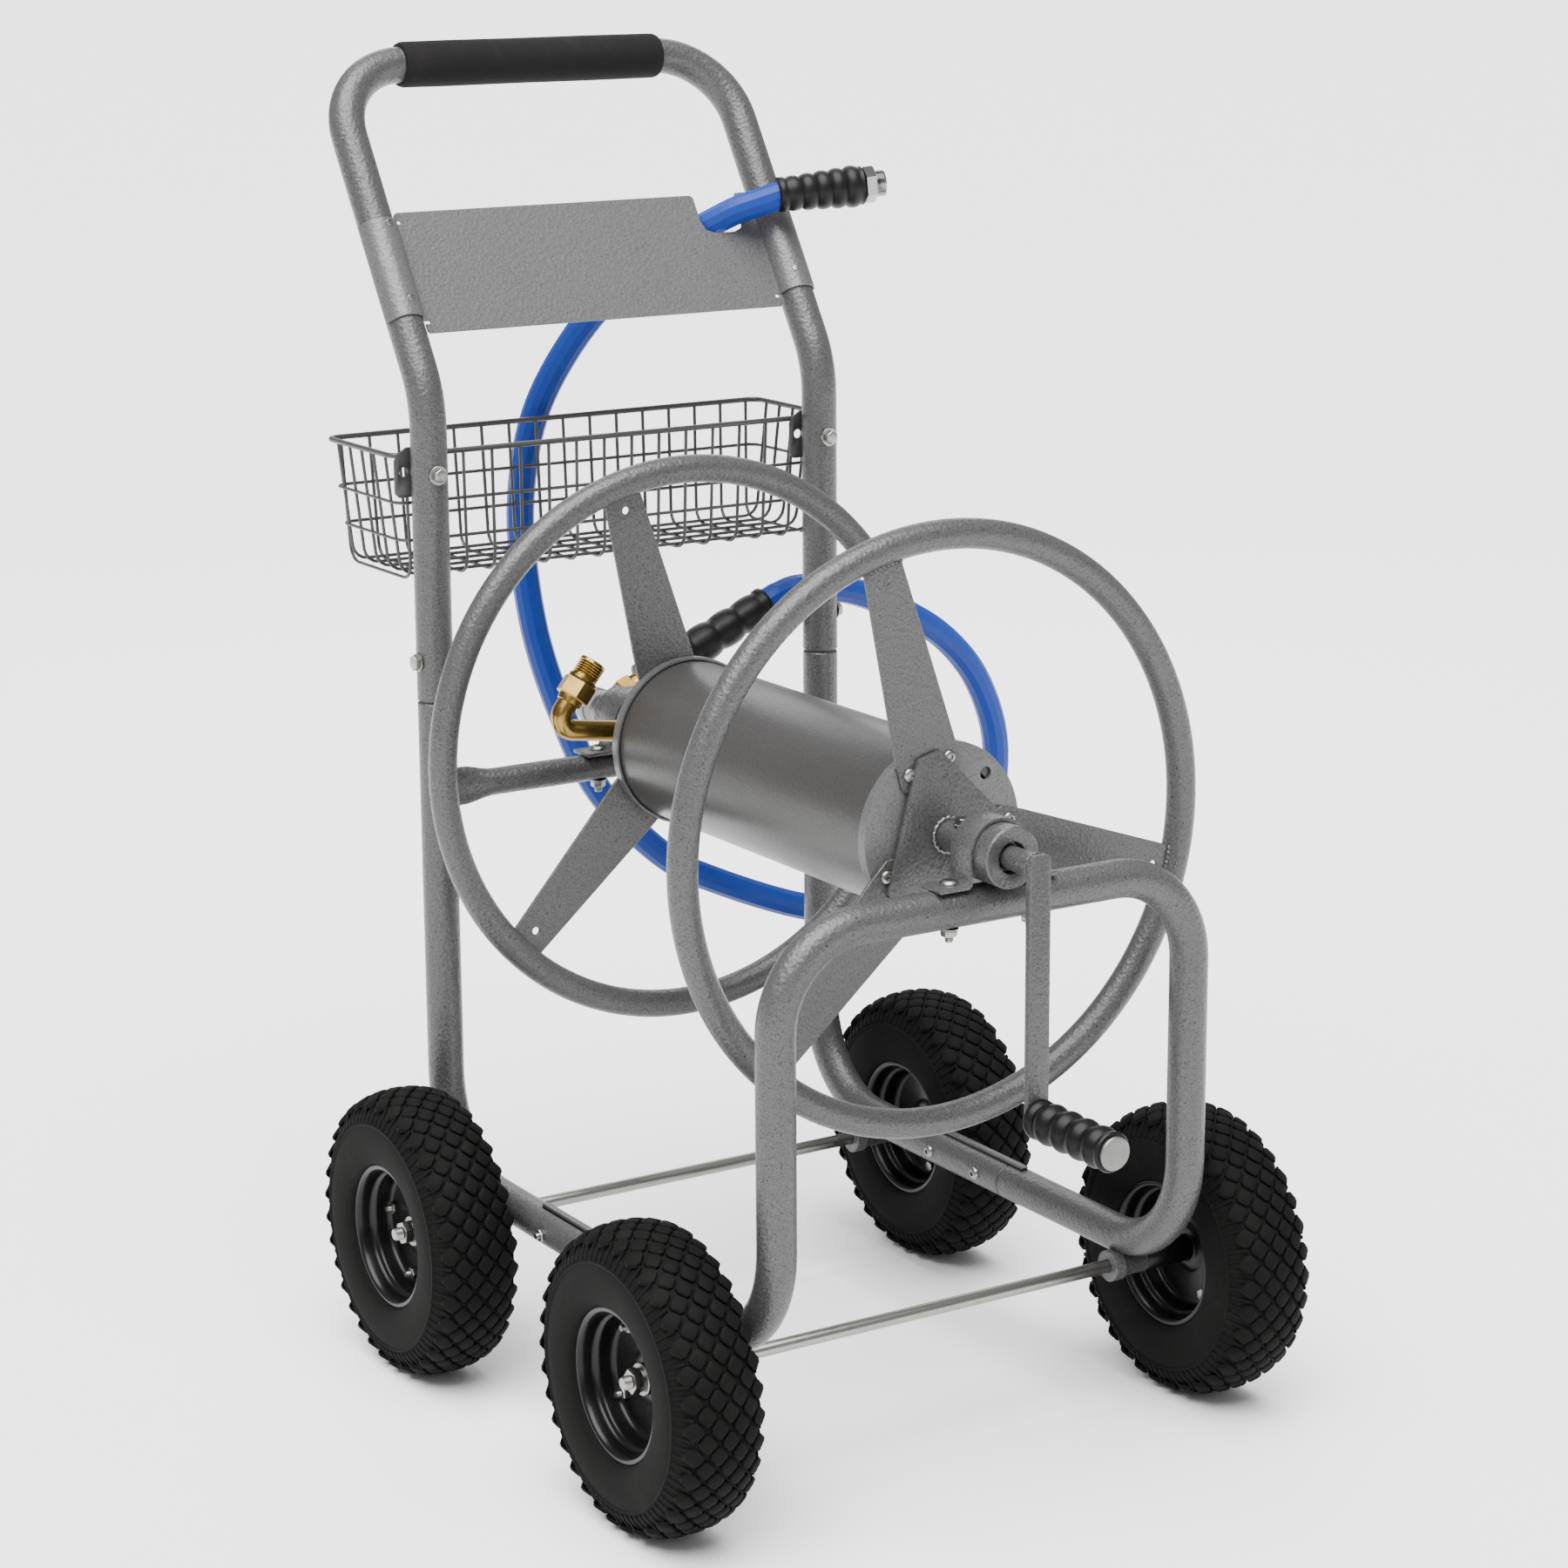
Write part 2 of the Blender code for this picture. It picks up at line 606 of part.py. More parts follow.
def makeFrontFrame(cart):
    side = HALF_TRACK
    inside = SEAM_REACH + RAIL_SPIGOT_LENGTH
    shoulder = SEAM_REACH - GAP
    corners = [
        (-side, shoulder - SHOULDER, RAIL_HEIGHT),
        (-side, -LEG_REACH, RAIL_HEIGHT),
        (-side, -LEG_REACH, FRONT_BAR_HEIGHT),
        (side, -LEG_REACH, FRONT_BAR_HEIGHT),
        (side, -LEG_REACH, RAIL_HEIGHT),
        (side, shoulder - SHOULDER, RAIL_HEIGHT),
    ]
    skins = []
    for back, big, small in (
        (0, TUBE_RADIUS, spigotRadius()),
        (TUBE_WALL, BORE_RADIUS, spigotRadius() - SPIGOT_WALL),
    ):
        middle = rounded(corners, [LOW_BEND, FRONT_BEND, FRONT_BEND, LOW_BEND])
        middle[0].y -= back
        middle[-1].y -= back
        path = [Vector((-side, inside, RAIL_HEIGHT)), Vector((-side, shoulder - back, RAIL_HEIGHT))]
        path += middle
        path += [Vector((side, shoulder - back, RAIL_HEIGHT)), Vector((side, inside, RAIL_HEIGHT))]
        skins.append((path, [small, small] + [big] * len(middle) + [small, small]))
    frame = addMesh("front_frame", pipe("front_frame", *skins), HAMMERED, cart)
    for place in (-STRAP_BOLT_REACH, STRAP_BOLT_REACH):
        cut(frame, rodTool(
            clearRadius(STRAP_BOLT_RADIUS, 6), -0.03, 0.03, "Z",
            (place, -LEG_REACH, FRONT_BAR_HEIGHT), cart, 6))


def makeBasket(cart):
    front = LEG_REACH + BASKET_FRONT_STANDOFF
    back = front + BASKET_TOP_DEPTH
    lowFront = LEG_REACH + BASKET_FLOOR_FRONT_STANDOFF
    lowBack = lowFront + BASKET_FLOOR_DEPTH
    wide = BASKET_TOP_HALF_WIDTH
    narrow = BASKET_FLOOR_HALF_WIDTH
    shape = bmesh.new()
    top = [(-wide, front), (wide, front), (wide, back), (-wide, back)]
    low = [(-narrow, lowFront), (narrow, lowFront), (narrow, lowBack), (-narrow, lowBack)]
    upper = [shape.verts.new((x, y, BASKET_TOP)) for x, y in top]
    lower = [shape.verts.new((x, y, BASKET_FLOOR)) for x, y in low]
    shape.faces.new(lower[::-1])
    for index in range(4):
        after = (index + 1) % 4
        shape.faces.new((lower[index], lower[after], upper[after], upper[index]))
    basket = addMesh("basket", finishMesh(shape, "basket"), WIRE, cart)
    hollow(basket, BASKET_SHEET)
    earFront = LEG_REACH + TUBE_RADIUS + GAP
    for side, word in ((-1, "left"), (1, "right")):
        low = side * HALF_TRACK - EAR_WIDTH / 2
        high = side * HALF_TRACK + EAR_WIDTH / 2
        ear = prism("tool", [(low, EAR_LOW), (high, EAR_LOW), (high, EAR_HIGH), (low, EAR_HIGH)],
                    earFront, earFront + EAR_SHEET)
        join(basket, addMesh("tool", ear, None, cart))
        place = (side * HALF_TRACK, LEG_REACH, BASKET_BOLT_HEIGHT)
        cut(basket, rodTool(clearRadius(BASKET_BOLT_RADIUS, 8), 0, 0.04, "Y", place, cart, 8))
        reach = TUBE_RADIUS + GAP
        behind = reach + EAR_SHEET + BASKET_SHEET + GAP
        bolt = turned("basket_bolt_" + word, [
            (0, -reach - BASKET_BOLT_FLANGE - BASKET_BOLT_HEAD),
            (BASKET_BOLT_HEAD_RADIUS, -reach - BASKET_BOLT_FLANGE - BASKET_BOLT_HEAD),
            (BASKET_BOLT_HEAD_RADIUS, -reach - BASKET_BOLT_FLANGE),
            (BASKET_BOLT_FLANGE_RADIUS, -reach - BASKET_BOLT_FLANGE),
            (BASKET_BOLT_FLANGE_RADIUS, -reach),
            (BASKET_BOLT_RADIUS, -reach),
            (BASKET_BOLT_RADIUS, behind),
            (BASKET_NUT_RADIUS, behind),
            (BASKET_NUT_RADIUS, behind + BASKET_NUT),
            (0, behind + BASKET_NUT),
        ], 8)
        addMesh("basket_bolt_" + word, bolt, ZINC, cart, place, (-math.pi / 2, 0, 0))


def makeAxles(cart):
    for reach, word in ((-AXLE_REACH, "front"), (AXLE_REACH, "rear")):
        rod = turned(word + "_axle", [
            (0, -AXLE_HALF_LENGTH),
            (AXLE_RADIUS - 0.001, -AXLE_HALF_LENGTH),
            (AXLE_RADIUS, -AXLE_HALF_LENGTH + 0.001),
            (AXLE_RADIUS, AXLE_HALF_LENGTH - 0.001),
            (AXLE_RADIUS - 0.001, AXLE_HALF_LENGTH),
            (0, AXLE_HALF_LENGTH),
        ])
        place = (0, reach, AXLE_HEIGHT)
        addMesh(word + "_axle", rod, ZINC, cart, place, (0, math.pi / 2, 0))
        for side, hand in ((-1, "left"), (1, "right")):
            bore = clearRadius(AXLE_RADIUS)
            sleeve = turned("sleeve", [
                (bore, SLEEVE_IN),
                (SLEEVE_COLLAR_RADIUS, SLEEVE_IN),
                (SLEEVE_COLLAR_RADIUS, SLEEVE_IN + SLEEVE_COLLAR_LENGTH),
                (SLEEVE_RADIUS, SLEEVE_IN + SLEEVE_COLLAR_LENGTH),
                (SLEEVE_RADIUS, SLEEVE_OUT),
                (bore, SLEEVE_OUT),
            ])
            name = "axle_sleeve_" + word + "_" + hand
            piece = addMesh(name, sleeve, HAMMERED, cart, place, (0, side * math.pi / 2, 0))
            cut(piece, rodTool(
                clearRadius(TUBE_RADIUS), -0.05, 0.05, "Y", (side * HALF_TRACK, reach, RAIL_HEIGHT), cart))
            start = WHEEL_TRACK + HUB_OUT + GAP
            nut = turned("nut", [
                (bore, start),
                (WASHER_RADIUS, start),
                (WASHER_RADIUS, start + WASHER),
                (AXLE_NUT_RADIUS, start + WASHER),
                (AXLE_NUT_RADIUS, start + WASHER + AXLE_NUT),
                (bore, start + WASHER + AXLE_NUT),
            ])
            name = "axle_nut_" + word + "_" + hand
            addMesh(name, nut, ZINC, cart, place, (0, side * math.pi / 2, 0))


def makeWheels(cart):
    bead = BEAD_RADIUS + GAP
    side = TYRE_HALF_WIDTH
    inner = TYRE_RADIUS - TYRE_WALL
    lip = RIM_HALF_WIDTH - RIM_SHEET - GAP
    half = [
        (TYRE_RADIUS, side - 0.019),
        (TYRE_RADIUS - 0.007, side - 0.006),
        (TYRE_RADIUS - 0.030, side),
        (RIM_FLANGE_RADIUS + 3 * GAP, lip),
        (bead, lip),
        (bead, lip - 0.008),
        (TYRE_RADIUS - 0.032, side - TYRE_WALL),
        (inner, side - 0.019),
    ]
    mirrored = [(radius, -height) for radius, height in reversed(half)]
    tyre = turned("tyre", half + mirrored, WHEEL_SIDES)
    seat = BEAD_RADIUS
    sheet = RIM_SHEET
    edge = RIM_HALF_WIDTH

    def dish(bore):
        return [
            (bore, GAP / 2),
            (RIM_DISC_RADIUS, GAP / 2),
            (seat - GAP, edge - sheet),
            (RIM_FLANGE_RADIUS, edge - sheet),
            (RIM_FLANGE_RADIUS, edge),
            (seat - GAP - sheet, edge),
            (RIM_DISC_RADIUS - sheet, sheet),
            (bore, sheet),
        ]

    outerRim = turned("rim_outer", dish(clearRadius(HUB_RADIUS, RIM_SIDES)), RIM_SIDES)
    axleBore = clearRadius(AXLE_RADIUS, RIM_SIDES)
    hubIn = SLEEVE_OUT + GAP - WHEEL_TRACK
    back = [(radius, -height) for radius, height in dish(HUB_RADIUS)]
    innerRim = turned("rim_inner", back + [
        (HUB_RADIUS, hubIn),
        (axleBore, hubIn),
        (axleBore, HUB_OUT),
        (HUB_RADIUS, HUB_OUT),
    ], RIM_SIDES)
    for reach, word in ((-AXLE_REACH, "front"), (AXLE_REACH, "rear")):
        for hand, name in ((-1, "left"), (1, "right")):
            label = word + "_" + name
            spot = (hand * WHEEL_TRACK, reach, AXLE_HEIGHT)
            wheel = addEmpty("wheel_" + label, cart, spot)
            turn = (0, hand * math.pi / 2, 0)
            addMesh("tyre_" + label, tyre.copy(), TYRE_RUBBER, wheel, (0, 0, 0), turn)
            addMesh("rim_outer_" + label, outerRim.copy(), DARK_PAINT, wheel, (0, 0, 0), turn)
            addMesh("rim_inner_" + label, innerRim.copy(), DARK_PAINT, wheel, (0, 0, 0), turn)


def makeReelRim(name, reel, middle, spokeLow):
    """Ring with its three welded spokes; the ring is hollow, with a vent hole on its inner side."""
    outer = RIM_TUBE_RADIUS
    inner = RIM_TUBE_RADIUS - RIM_TUBE_WALL

    def ring(radius, sides):
        outline = []
        for step in range(sides):
            angle = 2 * math.pi * step / sides
            outline.append((RIM_RADIUS + radius * math.cos(angle), radius * math.sin(angle)))
        return turned("ring", outline, RING_STEPS)

    flat = (-math.pi / 2, 0, 0)
    rim = addMesh(name, ring(outer, 8), HAMMERED, reel, (0, middle, 0), flat)
    reach = RIM_RADIUS - outer + RIM_TUBE_WALL
    hole = reach - SPOKE_HOLE_INSET
    for angle in SPOKE_ANGLES:
        strip = prism("tool", [
            (SPOKE_INNER, -SPOKE_HALF_WIDE),
            (SPOKE_WIDE_REACH, -SPOKE_HALF_WIDE),
            (reach, -SPOKE_HALF_NARROW),
            (reach, SPOKE_HALF_NARROW),
            (SPOKE_WIDE_REACH, SPOKE_HALF_WIDE),
            (SPOKE_INNER, SPOKE_HALF_WIDE),
        ], spokeLow, spokeLow + SPOKE_SHEET)
        join(rim, addMesh("tool", strip, None, reel, (0, 0, 0), (0, -angle, 0)))
        spot = (hole * math.cos(angle), spokeLow, hole * math.sin(angle))
        cut(rim, rodTool(SPOKE_HOLE_RADIUS, -0.01, 0.01, "Y", spot, reel, 8))
    cut(rim, addMesh("tool", ring(inner, 6), None, reel, (0, middle, 0), flat))
    vent = rodTool(0.002, RIM_RADIUS - outer - PAST, RIM_RADIUS, "X", (0, middle, 0), reel, 6)
    vent.rotation_euler = (0, math.pi / 2 - END_HOLE_ANGLE, 0)
    bpy.context.view_layer.update()
    cut(rim, vent)


def makeHub(name, reel, face, end, toward):
    """Three-cornered plate and its welded stub tube."""
    outline = []
    for angle in SPOKE_ANGLES:
        half = math.tan(math.radians(30)) * (2 * HUB_INRADIUS - HUB_CORNER)
        for offset in (half, -half):
            outline.append((
                HUB_CORNER * math.cos(angle) - offset * math.sin(angle),
                HUB_CORNER * math.sin(angle) + offset * math.cos(angle),
            ))
    low, high = sorted((face, face + toward * HUB_SHEET))
    hub = addMesh(name, prism(name, outline, low, high), HAMMERED, reel)
    stubLow, stubHigh = sorted((face + toward * HUB_SHEET / 2, end))
    join(hub, rodTool(STUB_RADIUS, stubLow, stubHigh, "Y", (0, 0, 0), reel, 16))
    cut(hub, rodTool(
        clearRadius(CRANK_ROD_RADIUS), min(low, stubLow) - PAST, max(high, stubHigh) + PAST, "Y", (0, 0, 0), reel))
    return hub


def makeReel(reel):
    drumLow = PLATE_FRONT + END_SHEET + GAP
    drumHigh = PLATE_REAR - END_SHEET - GAP
    drum = turned("drum", [
        (DRUM_RADIUS - DRUM_WALL, drumLow),
        (DRUM_RADIUS, drumLow),
        (DRUM_RADIUS, drumHigh),
        (DRUM_RADIUS - DRUM_WALL, drumHigh),
    ], RIM_SIDES)
    addMesh("drum", drum, HAMMERED, reel, (0, 0, 0), (-math.pi / 2, 0, 0))
    lip = clearRadius(DRUM_RADIUS, RIM_SIDES)
    for name, face, toward in (("drum_plate_front", PLATE_FRONT, 1), ("drum_plate_rear", PLATE_REAR, -1)):
        plate = turned(name, [
            (END_BORE, face),
            (END_RADIUS, face),
            (END_RADIUS, face + toward * END_LIP),
            (lip, face + toward * END_LIP),
            (lip, face + toward * END_SHEET),
            (END_BORE, face + toward * END_SHEET),
        ], RIM_SIDES)
        piece = addMesh(name, plate, HAMMERED, reel, (0, 0, 0), (-math.pi / 2, 0, 0))
        spot = (END_HOLE_REACH * math.cos(END_HOLE_ANGLE), face, END_HOLE_REACH * math.sin(END_HOLE_ANGLE))
        cut(piece, rodTool(END_HOLE_RADIUS, -0.012, 0.012, "Y", spot, reel, 8))
    spokeFront = PLATE_FRONT - GAP - SPOKE_SHEET
    spokeRear = PLATE_REAR + GAP
    makeReelRim("reel_rim_front", reel, RIM_FRONT, spokeFront)
    makeReelRim("reel_rim_rear", reel, RIM_REAR, spokeRear)
    front = makeHub("reel_hub_front", reel, spokeFront - GAP, STUB_END_FRONT, -1)
    makeHub("reel_hub_rear", reel, spokeRear + SPOKE_SHEET + GAP, STUB_END_REAR, 1)
    cut(front, rodTool(
        clearRadius(STUB_BOLT_RADIUS, 8), 0, STUB_RADIUS + PAST, "Z", (0, STUB_BOLT_REACH, 0), reel, 8))
    bolt = turned("stub_bolt", [
        (0, CRANK_ROD_RADIUS + GAP),
        (STUB_BOLT_RADIUS, CRANK_ROD_RADIUS + GAP),
        (STUB_BOLT_RADIUS, STUB_RADIUS + GAP),
        (STUB_BOLT_HEAD_RADIUS, STUB_RADIUS + GAP),
        (STUB_BOLT_HEAD_RADIUS, STUB_RADIUS + GAP + STUB_BOLT_HEAD),
        (0, STUB_RADIUS + GAP + STUB_BOLT_HEAD),
    ], 8)
    addMesh("stub_bolt", bolt, ZINC, reel, (0, STUB_BOLT_REACH, 0))


def makeCrank(reel):
    back = CRANK_ARM_BACK
    face = back - CRANK_ARM_SHEET
    rod = turned("crank", [
        (0, back - CRANK_ARM_SHEET / 2),
        (CRANK_ROD_RADIUS, back - CRANK_ARM_SHEET / 2),
        (CRANK_ROD_RADIUS, CRANK_ROD_INNER),
        (0, CRANK_ROD_INNER),
    ])
    crank = addMesh("crank", rod, HAMMERED, reel, (0, 0, 0), (-math.pi / 2, 0, 0))
    half = CRANK_ARM_HALF_WIDTH
    outline = []
    for step in range(7):
        angle = math.pi * step / 6
        outline.append((half * math.cos(angle), half * math.sin(angle)))
    for step in range(7):
        angle = math.pi * step / 6
        outline.append((-half * math.cos(angle), -CRANK_ARM_REACH - half * math.sin(angle)))
    join(crank, addMesh("tool", prism("tool", outline, face, back), None, reel))
    spot = (0, 0, -CRANK_ARM_REACH)
    cut(crank, rodTool(clearRadius(CRANK_PIN_RADIUS, 8), face - PAST, back + PAST, "Y", spot, reel, 8))
    gripFront = face - GAP - CRANK_GRIP_LENGTH
    cap = gripFront - GAP
    pin = turned("crank_pin", [
        (0, cap - CRANK_CAP),
        (CRANK_CAP_RADIUS - 0.001, cap - CRANK_CAP),
        (CRANK_CAP_RADIUS, cap - CRANK_CAP + 0.001),
        (CRANK_CAP_RADIUS, cap),
        (CRANK_PIN_RADIUS, cap),
        (CRANK_PIN_RADIUS, back + GAP),
        (CRANK_NUT_RADIUS, back + GAP),
        (CRANK_NUT_RADIUS, back + GAP + CRANK_NUT),
        (0, back + GAP + CRANK_NUT),
    ], 8)
    addMesh("crank_pin", pin, ZINC, reel, spot, (-math.pi / 2, 0, 0))
    handle = addEmpty("crank_grip_pivot", reel, (0, face - GAP - CRANK_GRIP_LENGTH / 2, -CRANK_ARM_REACH))
    outline = [(clearRadius(CRANK_PIN_RADIUS), -CRANK_GRIP_LENGTH / 2)]
    ribs = 4
    pitch = CRANK_GRIP_LENGTH / ribs
    for rib in range(ribs):
        low = -CRANK_GRIP_LENGTH / 2 + rib * pitch
        outline.append((CRANK_GRIP_WAIST, low))
        outline.append((CRANK_GRIP_RADIUS, low + pitch * 0.25))
        outline.append((CRANK_GRIP_RADIUS, low + pitch * 0.75))
    outline.append((CRANK_GRIP_WAIST, CRANK_GRIP_LENGTH / 2))
    outline.append((clearRadius(CRANK_PIN_RADIUS), CRANK_GRIP_LENGTH / 2))
    addMesh("crank_grip", turned("crank_grip", outline, 12), RUBBER, handle, (0, 0, 0), (-math.pi / 2, 0, 0))


def makeElbow(reel):
    corner = Vector((ELBOW_CORNER_X, ELBOW_REACH, ELBOW_CORNER_RISE))
    out = Vector((math.cos(ELBOW_OUT_ANGLE), 0, math.sin(ELBOW_OUT_ANGLE)))
    start = Vector((0, ELBOW_REACH, 0)).lerp(corner, 0.06)
    path = rounded([start, corner, corner + out * ELBOW_OUT_LENGTH], [ELBOW_BEND])
    outside = (path, [ELBOW_PIPE_RADIUS] * len(path))
    inside = (path, [ELBOW_PIPE_RADIUS - ELBOW_PIPE_WALL] * len(path))
    elbow = addMesh("outlet_elbow", pipe("outlet_elbow", outside, inside), BRASS, reel)
    bore = ELBOW_PIPE_RADIUS - ELBOW_PIPE_WALL / 2
    nut = addMesh("tool", turned("tool", [
        (bore, ELBOW_NUT_START),
        (ELBOW_NUT_RADIUS, ELBOW_NUT_START),
        (ELBOW_NUT_RADIUS, ELBOW_NUT_END),
        (ELBOW_THREAD_RADIUS, ELBOW_NUT_END),
        (ELBOW_THREAD_RADIUS, ELBOW_OUT_LENGTH + 0.001),
        (bore, ELBOW_OUT_LENGTH + 0.001),
    ]), None, reel, corner, (0, math.pi / 2 - ELBOW_OUT_ANGLE, 0))
    join(elbow, nut)
    cut(elbow, rodTool(
        clearRadius(STUB_RADIUS, 16), ELBOW_REACH - 0.03, ELBOW_REACH + 0.03, "Y", (0, 0, 0), reel, 16))


def makeBearings(cart):
    for hand, word, seat in ((-1, "front", RING_TOP_FRONT), (1, "rear", RING_TOP_REAR)):
        middle = hand * LEG_REACH
        ring = turned("bearing_ring_" + word, [
            (clearRadius(STUB_RADIUS, 16), -RING_INSET),
            (RING_RADIUS, -RING_INSET),
            (RING_RADIUS, RING_OUTSET),
            (clearRadius(STUB_RADIUS, 16), RING_OUTSET),
        ], 16)
        piece = addMesh(
            "bearing_ring_" + word, ring, HAMMERED, cart, (0, middle, REEL_HEIGHT), (-hand * math.pi / 2, 0, 0))
        bar = TUBE_RADIUS if hand < 0 else CROSS_RADIUS
        cut(piece, rodTool(clearRadius(bar), -0.06, 0.06, "X", (0, middle, seat - bar), cart))
        inner = clearRadius(RING_RADIUS, 16)
        outer = inner + STRAP_SHEET
        foot = seat + GAP - REEL_HEIGHT
        outline = [
            (-STRAP_REACH, foot),
            (-inner, foot),
        ]
        for step in range(13):
            angle = math.pi - math.pi * step / 12
            outline.append((inner * math.cos(angle), inner * math.sin(angle)))
        outline += [
            (inner, foot),
            (STRAP_REACH, foot),
            (STRAP_REACH, foot + STRAP_SHEET),
            (outer, foot + STRAP_SHEET),
        ]
        for step in range(13):
            angle = math.pi * step / 12
            outline.append((outer * math.cos(angle), outer * math.sin(angle)))
        outline += [
            (-outer, foot + STRAP_SHEET),
            (-STRAP_REACH, foot + STRAP_SHEET),
        ]
        strap = prism("strap", outline, -STRAP_WIDTH / 2, STRAP_WIDTH / 2)
        band = addMesh("bearing_strap_" + word, strap, HAMMERED, cart, (0, middle, REEL_HEIGHT))
        under = seat - 2 * bar
        for side, name in ((-1, "left"), (1, "right")):
            spot = (side * STRAP_BOLT_REACH, middle, 0)
            cut(band, rodTool(
                clearRadius(STRAP_BOLT_RADIUS, 6), seat - 0.02, seat + 0.02, "Z", spot, cart, 6))
            head = seat + GAP + STRAP_SHEET + GAP
            bolt = turned("bolt", [
                (0, under - GAP - STRAP_NUT),
                (STRAP_HEAD_RADIUS, under - GAP - STRAP_NUT),
                (STRAP_HEAD_RADIUS, under - GAP),
                (STRAP_BOLT_RADIUS, under - GAP),
                (STRAP_BOLT_RADIUS, head),
                (STRAP_HEAD_RADIUS, head),
                (STRAP_HEAD_RADIUS, head + STRAP_HEAD),
                (0, head + STRAP_HEAD),
            ], 6)
            addMesh("strap_bolt_" + word + "_" + name, bolt, ZINC, cart, spot)


def aim(direction):
    return Vector(direction).to_track_quat("Z", "Y").to_euler()


def smoothRoute(points, spacing):
    """Evenly spaced points on a smooth curve through the given ones."""
    ends = [2 * points[0] - points[1]] + points + [2 * points[-1] - points[-2]]
    fine = []
    for index in range(1, len(ends) - 2):
        before, start, end, after = ends[index - 1:index + 3]
        for step in range(12):
            part = step / 12
            fine.append(0.5 * (
                2 * start + (end - before) * part
                + (2 * before - 5 * start + 4 * end - after) * part ** 2
                + (3 * start - before - 3 * end + after) * part ** 3))
    fine.append(points[-1])
    total = sum((second - first).length for first, second in zip(fine, fine[1:]))
    count = round(total / spacing)
    step = total / count
    spaced = [fine[0]]
    gone = 0
    for first, second in zip(fine, fine[1:]):
        piece = (second - first).length
        while len(spaced) < count and gone + piece >= step * len(spaced):
            spaced.append(first.lerp(second, (step * len(spaced) - gone) / piece))
        gone += piece
    spaced.append(fine[-1])
    return spaced


def makeWater(cart):
    """Stationary inlet swivel, the leader hose and what is on it."""
    low = STUB_END_REAR + GAP
    body = turned("swivel_body", [
        (0, low),
        (SWIVEL_RADIUS, low),
        (SWIVEL_RADIUS, low + SWIVEL_LENGTH - 0.004),
        (SWIVEL_RADIUS - 0.004, low + SWIVEL_LENGTH),
        (0, low + SWIVEL_LENGTH),
    ], 16)
    swivel = addMesh("swivel_body", body, ZINC, cart, (0, 0, REEL_HEIGHT), (-math.pi / 2, 0, 0))
    along = Vector((math.cos(INLET_ANGLE), 0, math.sin(INLET_ANGLE)))
    centre = Vector((0, INLET_REACH, REEL_HEIGHT))
    boss = addMesh("tool", turned("tool", [
        (0, 0.004),
        (SWIVEL_BOSS_RADIUS, 0.004),
        (SWIVEL_BOSS_RADIUS, SWIVEL_BOSS_REACH),
        (0, SWIVEL_BOSS_REACH),
    ]), None, cart, centre, aim(along))
    join(swivel, boss)
    nutStart = SWIVEL_BOSS_REACH + GAP
    nutEnd = nutStart + INLET_NUT_LENGTH
    nut = turned("inlet_nut", [
        (0, nutStart),
        (INLET_NUT_RADIUS, nutStart),
        (INLET_NUT_RADIUS, nutEnd - 0.008),
        (SWIVEL_BOSS_RADIUS, nutEnd - 0.008),
        (SWIVEL_BOSS_RADIUS, nutEnd),
        (0, nutEnd),
    ], 6)
    addMesh("inlet_nut", nut, BRASS, cart, centre, aim(along))
    sleeveEnd = nutEnd + GAP + INLET_SLEEVE_LENGTH
    sleeve = turned("hose_sleeve_inlet", [
        (0, nutEnd + GAP),
        (INLET_SLEEVE_RADIUS, nutEnd + GAP),
        (INLET_SLEEVE_RADIUS, sleeveEnd),
        (0, sleeveEnd),
    ])
    addMesh("hose_sleeve_inlet", sleeve, RUBBER, cart, centre, aim(along))
    start = centre + along * (sleeveEnd + GAP)
    end = Vector(HOSE_END)
    outward = (Vector(OUTLET_SLEEVE_END) - end).normalized()
    leave = start + along * HOSE_STRAIGHT
    arrive = end - outward * HOSE_STRAIGHT
    route = [leave] + [Vector(place) for place in HOSE_ROUTE] + [arrive]
    route = [start] + smoothRoute(route, HOSE_SPACING) + [end]
    curve = bpy.data.curves.new("leader_hose", "CURVE")
    curve.dimensions = "3D"
    curve.bevel_depth = HOSE_RADIUS
    curve.bevel_resolution = 2
    curve.use_fill_caps = True
    spline = curve.splines.new("POLY")
    spline.points.add(len(route) - 1)
    for index, place in enumerate(route):
        spline.points[index].co = (*place, 1)
    hose = bpy.data.objects.new("leader_hose", curve)
    bpy.context.scene.collection.objects.link(hose)
    hose.parent = cart
    curve.materials.append(makeLook("leader_hose", HOSE_BLUE))
    sleeveLength = (Vector(OUTLET_SLEEVE_END) - end).length
    sleeve = turned("hose_sleeve_outlet", [
        (0, 0),
        (OUTLET_SLEEVE_RADIUS, 0),
        (OUTLET_SLEEVE_RADIUS, sleeveLength),
        (0, sleeveLength),
    ])
    addMesh("hose_sleeve_outlet", sleeve, RUBBER, cart, end + outward * GAP, aim(outward))
    fitting = turned("hose_fitting", [
        (0, 0),
        (FITTING_HEX_RADIUS, 0),
        (FITTING_HEX_RADIUS, FITTING_LENGTH * 0.5),
        (FITTING_THREAD_RADIUS, FITTING_LENGTH * 0.5),
        (FITTING_THREAD_RADIUS, FITTING_LENGTH),
        (0, FITTING_LENGTH),
    ], 12)
    place = end + outward * (sleeveLength + 2 * GAP)
    addMesh("hose_fitting", fitting, BRASS, cart, place, aim(outward))


